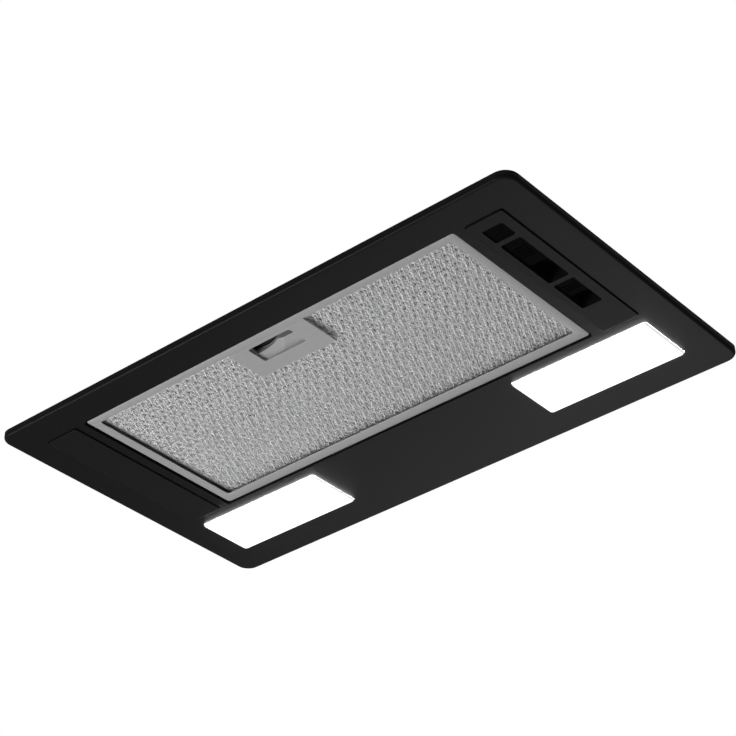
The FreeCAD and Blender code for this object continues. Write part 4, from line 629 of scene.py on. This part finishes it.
def filter_pack():
    """Fine faces outside, three coarser layers between them."""
    for name, node, sink in (("expanded_face", "filter_front_mesh", FACE_SINK),
                             ("expanded_back", "filter_rear_mesh", -FACE_SINK)):
        low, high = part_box(node)
        sheet = diamond_layer(name, node, FACE_MESH, (low.z + high.z) / 2 + sink, 0.0)
        settle(sheet, "filter", "filter_aluminium", node, finish=FACE_STRANDS_PAINTED_LIGHT)
    low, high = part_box("filter_core")
    layers = []
    for i, share in enumerate(CORE_LEVELS):
        level = low.z + share * (high.z - low.z)
        shift = i * CORE_MESH[0] / len(CORE_LEVELS)
        layers.append(diamond_layer(f"core_layer_{i}", "filter_core", CORE_MESH, level, shift))
    core = join("expanded_core", layers)
    settle(core, "filter", "filter_aluminium", "filter_core", finish=CORE_STRANDS_PAINTED_LIGHT)


filter_pack()


# Folded sheet frame of the grease filter

FRAME_SHEET = 0.8 * MM
WINDOW_CORNER = 2.4 * MM
FOLD_WIDTH = 0.3 * MM
FOLD_ANGLE = math.radians(60)
BOLT_SLOT_LOW = Vector((-13, -1, 2)) * MM
BOLT_SLOT_HIGH = Vector((13, 2, 4.6)) * MM


def channel_sheet(name):
    """Sheet without thickness: front lip from the window out, outer wall, and rear lip back in."""
    low, high = FRAME_LOW, FRAME_HIGH
    middle = (WINDOW_LOW + WINDOW_HIGH) / 2
    window = WINDOW_HIGH - WINDOW_LOW
    step = Vector((0, (low.y + high.y) / 2 - middle.y, 0))
    grow = ((high.x - low.x) / window.x, (high.y - low.y) / window.y, 1)
    shrink = [1 / share for share in grow]
    begin()
    bpy.ops.mesh.primitive_plane_add(size=1)
    channel = named(name)
    edit()
    bpy.ops.transform.resize(value=(window.x, window.y, 1), center_override=ORIGIN)
    bpy.ops.mesh.bevel(offset=WINDOW_CORNER, segments=4, affect="VERTICES")
    bpy.ops.mesh.select_all(action="SELECT")
    bpy.ops.transform.translate(value=(0, middle.y, low.z))
    pick(channel, lambda e: True, "edges")
    bpy.ops.mesh.extrude_edges_move()
    bpy.ops.transform.resize(value=grow, center_override=middle)
    bpy.ops.transform.translate(value=step)
    bpy.ops.mesh.extrude_edges_move(TRANSFORM_OT_translate={"value": (0, 0, high.z - low.z)})
    bpy.ops.mesh.extrude_edges_move()
    bpy.ops.transform.translate(value=-step)
    bpy.ops.transform.resize(value=shrink, center_override=middle)
    pick(channel, lambda f: len(f.verts) > 4)
    bpy.ops.mesh.delete(type="FACE")
    bpy.ops.mesh.select_all(action="SELECT")
    bpy.ops.mesh.normals_make_consistent(inside=False)
    shape = bmesh.from_edit_mesh(channel.data)
    if any(f.normal.z > 0.5 and f.calc_center_median().z < low.z + FRAME_SHEET for f in shape.faces):
        bpy.ops.mesh.flip_normals()
    bpy.ops.object.mode_set(mode="OBJECT")
    return channel


def folded_frame():
    """Channel folded from thin sheet, with a slot for the latch's bolt."""
    channel = channel_sheet("folded_filter_frame")
    modify(channel, "SOLIDIFY", thickness=FRAME_SHEET, offset=-1, use_even_offset=True)
    modify(channel, "BEVEL", width=FOLD_WIDTH, segments=2, angle_limit=FOLD_ANGLE)
    front = Vector((0, FRAME_LOW.y, FRAME_LOW.z))
    slot_middle = front + (BOLT_SLOT_LOW + BOLT_SLOT_HIGH) / 2
    cut_out(channel, start_block("slot_cutter", BOLT_SLOT_HIGH - BOLT_SLOT_LOW, slot_middle))
    bpy.ops.object.shade_smooth_by_angle(angle=SMOOTH_ANGLE)
    settle(channel, "filter", "filter_aluminium", "filter_frame")


folded_frame()


# Screws and rivets

# Heads and tails are rings of (share of the height, share of the radius). The thread goes by the shank's
# radius, and the cross recess by the head's radius and rise.
SCREW_HEAD = ((0.45, 1.0), (0.75, 0.93), (0.92, 0.78), (1.0, 0.55))
THREAD_PITCH = 0.35
THREAD_ROOT = 0.84
SCREW_TIP = 0.6
RECESS_REACH = 1.15
RECESS_BREADTH = 0.26
RECESS_FLOOR = 0.35
RECESS_TAPER = 0.6
RECESS_OVERRUN = 0.2 * MM
RIVET_HEAD = ((0.25, 1.0), (0.6, 0.9), (0.88, 0.72), (1.0, 0.48), (0.94, 0.4), (0.3, 0.36),
              (0.3, 0.29), (0.62, 0.25))
RIVET_TAIL = ((0, 1.0), (0.76, 1.0), (0.84, 1.25), (1.0, 1.05))
ROUND_CORNERS = 24
RIM_SHARE = 0.98


def islands(node):
    """Points of each separate solid of a node."""
    shape = bmesh.new()
    shape.from_mesh(nodes[node].data)
    bmesh.ops.remove_doubles(shape, verts=shape.verts, dist=NEAR)
    left = set(shape.verts)
    found = []
    while left:
        waiting = [left.pop()]
        points = []
        while waiting:
            vert = waiting.pop()
            points.append(nodes[node].matrix_world @ vert.co)
            linked = {edge.other_vert(vert) for edge in vert.link_edges} & left
            left -= linked
            waiting += linked
        found.append(points)
    shape.free()
    return found


def measure_pin(points):
    """Place of a headed pin as a matrix, with its head radius, rise, shank radius and length."""
    low = Vector([min(p[i] for p in points) for i in range(3)])
    high = Vector([max(p[i] for p in points) for i in range(3)])
    middle = (low + high) / 2
    size = high - low
    along = min(range(3), key=lambda i: abs(size[i - 1] - size[i - 2]))

    def width(point):
        return math.hypot(*[point[i] - middle[i] for i in range(3) if i != along])

    head = max(map(width, points))
    rim = [p[along] for p in points if width(p) > RIM_SHARE * head]
    up = 1 if sum(rim) / len(rim) > middle[along] else -1
    seat = min(rim) if up > 0 else max(rim)
    tip, tail = (high[along], low[along]) if up > 0 else (low[along], high[along])
    shank = max(width(p) for p in points if abs(p[along] - tail) < NEAR)
    axis = Vector(ORIGIN)
    axis[along] = up
    place = middle.copy()
    place[along] = seat
    turn = Vector((0, 0, 1)).rotation_difference(axis).to_matrix().to_4x4()
    sizes = [round(v, 6) for v in (head, abs(tip - seat), shank, abs(tail - seat))]
    return Matrix.Translation(place) @ turn, tuple(sizes)


def start_disc(name, radius):
    """Round face on the Z axis, open for editing."""
    begin()
    bpy.ops.mesh.primitive_circle_add(vertices=ROUND_CORNERS, radius=radius, fill_type="NGON")
    disc = named(name)
    edit()
    return disc


def draw_out(radius, rings):
    """Draws the picked face at height 0 out along the Z axis through rings of (height, radius)."""
    height = 0
    for z, r in rings:
        bpy.ops.mesh.extrude_region_move(TRANSFORM_OT_translate={"value": (0, 0, z - height)})
        bpy.ops.transform.resize(value=(r / radius, r / radius, 1), center_override=ORIGIN)
        height, radius = z, r


def draw_head(name, head, rise, shares):
    """Head of a fastener with its seat at height 0, and the seat's face picked."""
    piece = start_disc(name, head)
    draw_out(head, [(z * rise, r * head) for z, r in shares])
    pick(piece, lambda f: len(f.verts) > 4 and abs(f.calc_center_median().z) < NEAR)
    return piece


def cut_recess(screw, reach, breadth, floor, top):
    """Cuts a slot that narrows to its floor across a head."""
    cutter = start_block("recess_cutter", (reach, breadth, top - floor), (0, 0, (top + floor) / 2))
    pick(cutter, lambda f: f.normal.z < -0.5)
    bpy.ops.transform.resize(value=(RECESS_TAPER, RECESS_TAPER, 1), center_override=ORIGIN)
    cut_out(screw, cutter)


def pan_screw(head, rise, shank, length):
    """Pan-head screw with a cross recess and a threaded shank, its seat on the origin."""
    screw = draw_head("screw", head, rise, SCREW_HEAD)
    pitch = THREAD_PITCH * shank
    thread = [(0, shank)]
    for i in range(int(length / pitch) - 1):
        thread += [(-(i + 0.5) * pitch, THREAD_ROOT * shank), (-(i + 1) * pitch, shank)]
    draw_out(head, thread + [(-length, SCREW_TIP * shank)])
    end_piece()
    reach, breadth = RECESS_REACH * head, RECESS_BREADTH * head
    for sides in ((reach, breadth), (breadth, reach)):
        cut_recess(screw, *sides, RECESS_FLOOR * rise, rise + RECESS_OVERRUN)
    bpy.ops.object.shade_smooth_by_angle(angle=SMOOTH_ANGLE)
    return screw


def pop_rivet(head, rise, shank, length):
    """Domed rivet with the stub of its pulled stem in the middle and a swollen tail."""
    rivet = draw_head("rivet", head, rise, RIVET_HEAD)
    draw_out(head, [(-z * length, r * shank) for z, r in RIVET_TAIL])
    end_piece()
    return rivet


def fasteners(name, node, slot, model):
    """Models each size of a node's fasteners once and copies it to its places."""
    models = {}
    copies = []
    for points in islands(node):
        place, sizes = measure_pin(points)
        if sizes not in models:
            models[sizes] = model(*sizes)
        copies.append(own_copy(models[sizes], place))
    for piece in models.values():
        bpy.data.objects.remove(piece)
    settle(join(name, copies), "hood", slot, node)


fasteners("collar_pan_screws", "collar_screws", "zinc", pan_screw)
fasteners("panel_pan_screws", "panel_screws", "zinc", pan_screw)
fasteners("blower_pan_screws", "blower_screws", "zinc", pan_screw)
fasteners("lid_pan_screws", "lid_screws", "zinc", pan_screw)
fasteners("body_pop_rivets", "housing_rivets", "zinc", pop_rivet)


# Leaf springs of the side catches, along a line of (x, z) in millimetres

LEAF_LINE = ((228.6, 52.6), (229.6, 53.2), (230.2, 54.6), (230.0, 56.4), (229.0, 58.8), (227.5, 61.5),
             (226.8, 64.4), (227.1, 67.6), (228.7, 71.0), (231.5, 74.0), (235.4, 76.5), (239.4, 77.8),
             (242.95, 78.25))
LEAF_WIDTH = 8.0 * MM
LEAF_SHEET = 0.5 * MM


def leaf_spring(name):
    """Bowed strip with a curled foot, which leaves the catch room to fold in."""
    points = [Vector((x, 0, z)) * MM for x, z in LEAF_LINE]
    half = Vector((0.5, 0, 0))
    begin()
    bpy.ops.mesh.primitive_plane_add(size=1)
    leaf = named(name)
    edit()
    bpy.ops.transform.resize(value=(1, LEAF_WIDTH, 1), center_override=ORIGIN)
    pick(leaf, lambda v: v.co.x > 0, "verts")
    bpy.ops.transform.translate(value=points[1] - half)
    pick(leaf, lambda v: v.co.x < 0, "verts")
    bpy.ops.transform.translate(value=points[0] + half)
    pick(leaf, lambda e: all(abs(v.co.z - points[1].z) < NEAR for v in e.verts), "edges")
    for start, end in zip(points[1:], points[2:]):
        bpy.ops.mesh.extrude_edges_move(TRANSFORM_OT_translate={"value": end - start})
    bpy.ops.object.mode_set(mode="OBJECT")
    modify(leaf, "SUBSURF", levels=2, render_levels=2)
    modify(leaf, "SOLIDIFY", thickness=LEAF_SHEET, offset=0)
    bpy.ops.object.mode_set(mode="EDIT")
    end_piece()
    return leaf


def leaf_springs():
    """Spring of the right catch and its mirror image."""
    right = leaf_spring("right_leaf")
    left = own_copy(right, Matrix.Scale(-1, 4, Vector((1, 0, 0))))
    left.data.flip_normals()
    settle(join("bent_leaf_springs", [right, left]), "hood", "steel", "catch_springs")


leaf_springs()


# Studio: the cupboard's white underside, a pale floor, soft light and the photograph's camera

UNDERSIDE_INSET = 0.5 * MM
UNDERSIDE_RISE = 0.4 * MM
UNDERSIDE_CORNER = 11.5 * MM
UNDERSIDE_REACH = 20
UNDERSIDE_MIRRORED = 0.3
FLOOR_SIZE = 60.0
FLOOR_LEVEL = -1.6
FADE_START = 3.0
FADE_END = 12.0
NEAR_FLOOR_GLOW = 0.55
FAR_FLOOR_GLOW = 0.85
AMBIENT = 0.2
FOCAL_LENGTH = 104.49
SENSOR_WIDTH = 36.0
VIEW_REACH = 100.0
CAMERA_PLACE = (0.92374, -1.08234, -0.94027)
CAMERA_RIGHT = Vector((0.76026537, 0.64956616, -0.00776949))
CAMERA_DOWN = Vector((-0.36940524, 0.42245935, -0.82768827))
CAMERA_AHEAD = Vector((-0.534356, 0.63213282, 0.56113436))


def underside_finish():
    """White to the eye from below and clear from above. It is dim in what mirrors it, and keeps
    the light from below off the hood's body."""
    finish = bpy.data.materials.new("white_underside")
    finish.use_nodes = True
    tree = finish.node_tree
    tree.nodes.clear()
    glow = add(tree, "ShaderNodeEmission")
    clear = add(tree, "ShaderNodeBsdfTransparent")
    above = add(tree, "ShaderNodeNewGeometry").outputs["Backfacing"]
    path = add(tree, "ShaderNodeLightPath").outputs
    seen = math_node(tree, "SUBTRACT", path["Is Camera Ray"], above)
    mirrored = math_node(tree, "ADD", path["Is Glossy Ray"], path["Is Transmission Ray"])
    shade = product(tree, path["Is Shadow Ray"], above)
    share = math_node(tree, "MAXIMUM", math_node(tree, "MAXIMUM", seen, mirrored), shade)
    strength = ramp(tree, path["Is Camera Ray"], 0.0, 1.0, low=UNDERSIDE_MIRRORED, high=1.0)
    tree.links.new(strength, glow.inputs["Strength"])
    output = add(tree, "ShaderNodeOutputMaterial")
    tree.links.new(blend_shaders(tree, share, clear, glow), output.inputs["Surface"])
    return finish


def white_underside():
    """Underside of the cupboard, with an opening at the hood's rim."""
    low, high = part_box("face_panel")
    opening = high - low - 2 * Vector((UNDERSIDE_INSET, UNDERSIDE_INSET, 0))
    begin()
    bpy.ops.mesh.primitive_plane_add(size=1.0)
    sheet = named("cupboard_underside")
    edit()
    bpy.ops.transform.resize(value=(opening.x, opening.y, 1), center_override=ORIGIN)
    bpy.ops.transform.translate(value=(0, 0, UNDERSIDE_RISE))
    bpy.ops.mesh.bevel(offset=UNDERSIDE_CORNER, segments=8, affect="VERTICES")
    pick(sheet, lambda e: True, "edges")
    bpy.ops.mesh.extrude_edges_move()
    bpy.ops.transform.resize(value=(UNDERSIDE_REACH, UNDERSIDE_REACH, 1), center_override=ORIGIN)
    pick(sheet, lambda f: len(f.verts) > 4)
    bpy.ops.mesh.delete(type="FACE")
    pick(sheet, lambda f: f.normal.z > 0)
    bpy.ops.mesh.flip_normals()
    bpy.ops.object.mode_set(mode="OBJECT")
    dress(sheet, underside_finish())


def floor_finish():
    """Pale, white where it is far away, and clear for a camera below it."""
    finish, tree, shader = start_finish("pale_floor")
    shader.inputs["Base Color"].default_value = grey(0.8)
    shader.inputs["Roughness"].default_value = 0.9
    shader.inputs["Emission Color"].default_value = grey(1.0)
    clear = add(tree, "ShaderNodeBsdfTransparent")
    path = add(tree, "ShaderNodeLightPath")
    face = add(tree, "ShaderNodeNewGeometry")
    away = add(tree, "ShaderNodeVectorMath", operation="LENGTH")
    tree.links.new(face.outputs["Position"], away.inputs[0])
    glow = ramp(tree, away.outputs["Value"], FADE_START, FADE_END, NEAR_FLOOR_GLOW, FAR_FLOOR_GLOW)
    tree.links.new(product(tree, path.outputs["Is Camera Ray"], glow), shader.inputs["Emission Strength"])
    tree.links.new(blend_shaders(tree, face.outputs["Backfacing"], shader, clear),
                   tree.nodes["Material Output"].inputs["Surface"])
    return finish


def pale_floor():
    """Floor far under the hood."""
    begin()
    bpy.ops.mesh.primitive_plane_add(size=FLOOR_SIZE, location=(0, 0, FLOOR_LEVEL))
    floor = named("pale_floor")
    dress(floor, floor_finish())


def soft_light(name, place, aim, size, power):
    """Rectangular area light at a place, aimed at a point."""
    lamp = bpy.data.lights.new(name, "AREA")
    lamp.shape = "RECTANGLE"
    lamp.size, lamp.size_y = size
    lamp.energy = power
    holder = bpy.data.objects.new(name, lamp)
    holder.location = place
    holder.rotation_euler = (Vector(aim) - Vector(place)).to_track_quat("-Z", "Y").to_euler()
    bpy.context.scene.collection.objects.link(holder)


def studio_world():
    """White wherever it shows or is mirrored, and a dim light all round otherwise."""
    world = bpy.data.worlds.new("studio")
    world.use_nodes = True
    bpy.context.scene.world = world
    tree = world.node_tree
    tree.nodes.clear()
    ambient = add(tree, "ShaderNodeBackground")
    white = add(tree, "ShaderNodeBackground")
    for background in (ambient, white):
        background.inputs["Color"].default_value = grey(1.0)
    ambient.inputs["Strength"].default_value = AMBIENT
    path = add(tree, "ShaderNodeLightPath").outputs
    shown = math_node(tree, "ADD", path["Is Camera Ray"], path["Is Glossy Ray"])
    shown = math_node(tree, "MINIMUM", math_node(tree, "ADD", shown, path["Is Transmission Ray"]), 1.0)
    output = add(tree, "ShaderNodeOutputWorld")
    tree.links.new(blend_shaders(tree, shown, ambient, white), output.inputs["Surface"])


def photo_camera():
    """Camera solved from the photograph's perspective."""
    lens = bpy.data.cameras.new("camera")
    lens.lens = FOCAL_LENGTH
    lens.sensor_width = SENSOR_WIDTH
    lens.clip_end = VIEW_REACH
    camera = bpy.data.objects.new("camera", lens)
    turn = Matrix((CAMERA_RIGHT, -CAMERA_DOWN, -CAMERA_AHEAD)).transposed().to_4x4()
    camera.matrix_world = Matrix.Translation(CAMERA_PLACE) @ turn
    bpy.context.scene.collection.objects.link(camera)
    bpy.context.scene.camera = camera


white_underside()
pale_floor()
soft_light("key_below", place=(-1.1, -1.0, -1.3), aim=(0, 0, 0), size=(1.0, 0.8), power=32.0)
soft_light("far_side", place=(-0.62, 1.53, -1.29), aim=(0.1, 0, 0), size=(0.4, 0.3), power=3.3)
soft_light("far_low", place=(-0.97, 1.62, -0.92), aim=(0.1, 0, 0), size=(0.9, 0.25), power=2.7)
soft_light("top", place=(0.6, -1.1, 1.7), aim=(0, 0, 0.1), size=(2.0, 2.0), power=22.0)
soft_light("top_back", place=(-1.0, 1.3, 1.3), aim=(0, 0, 0.1), size=(1.2, 1.2), power=12.0)
studio_world()
photo_camera()
bpy.context.scene.view_settings.view_transform = "Standard"
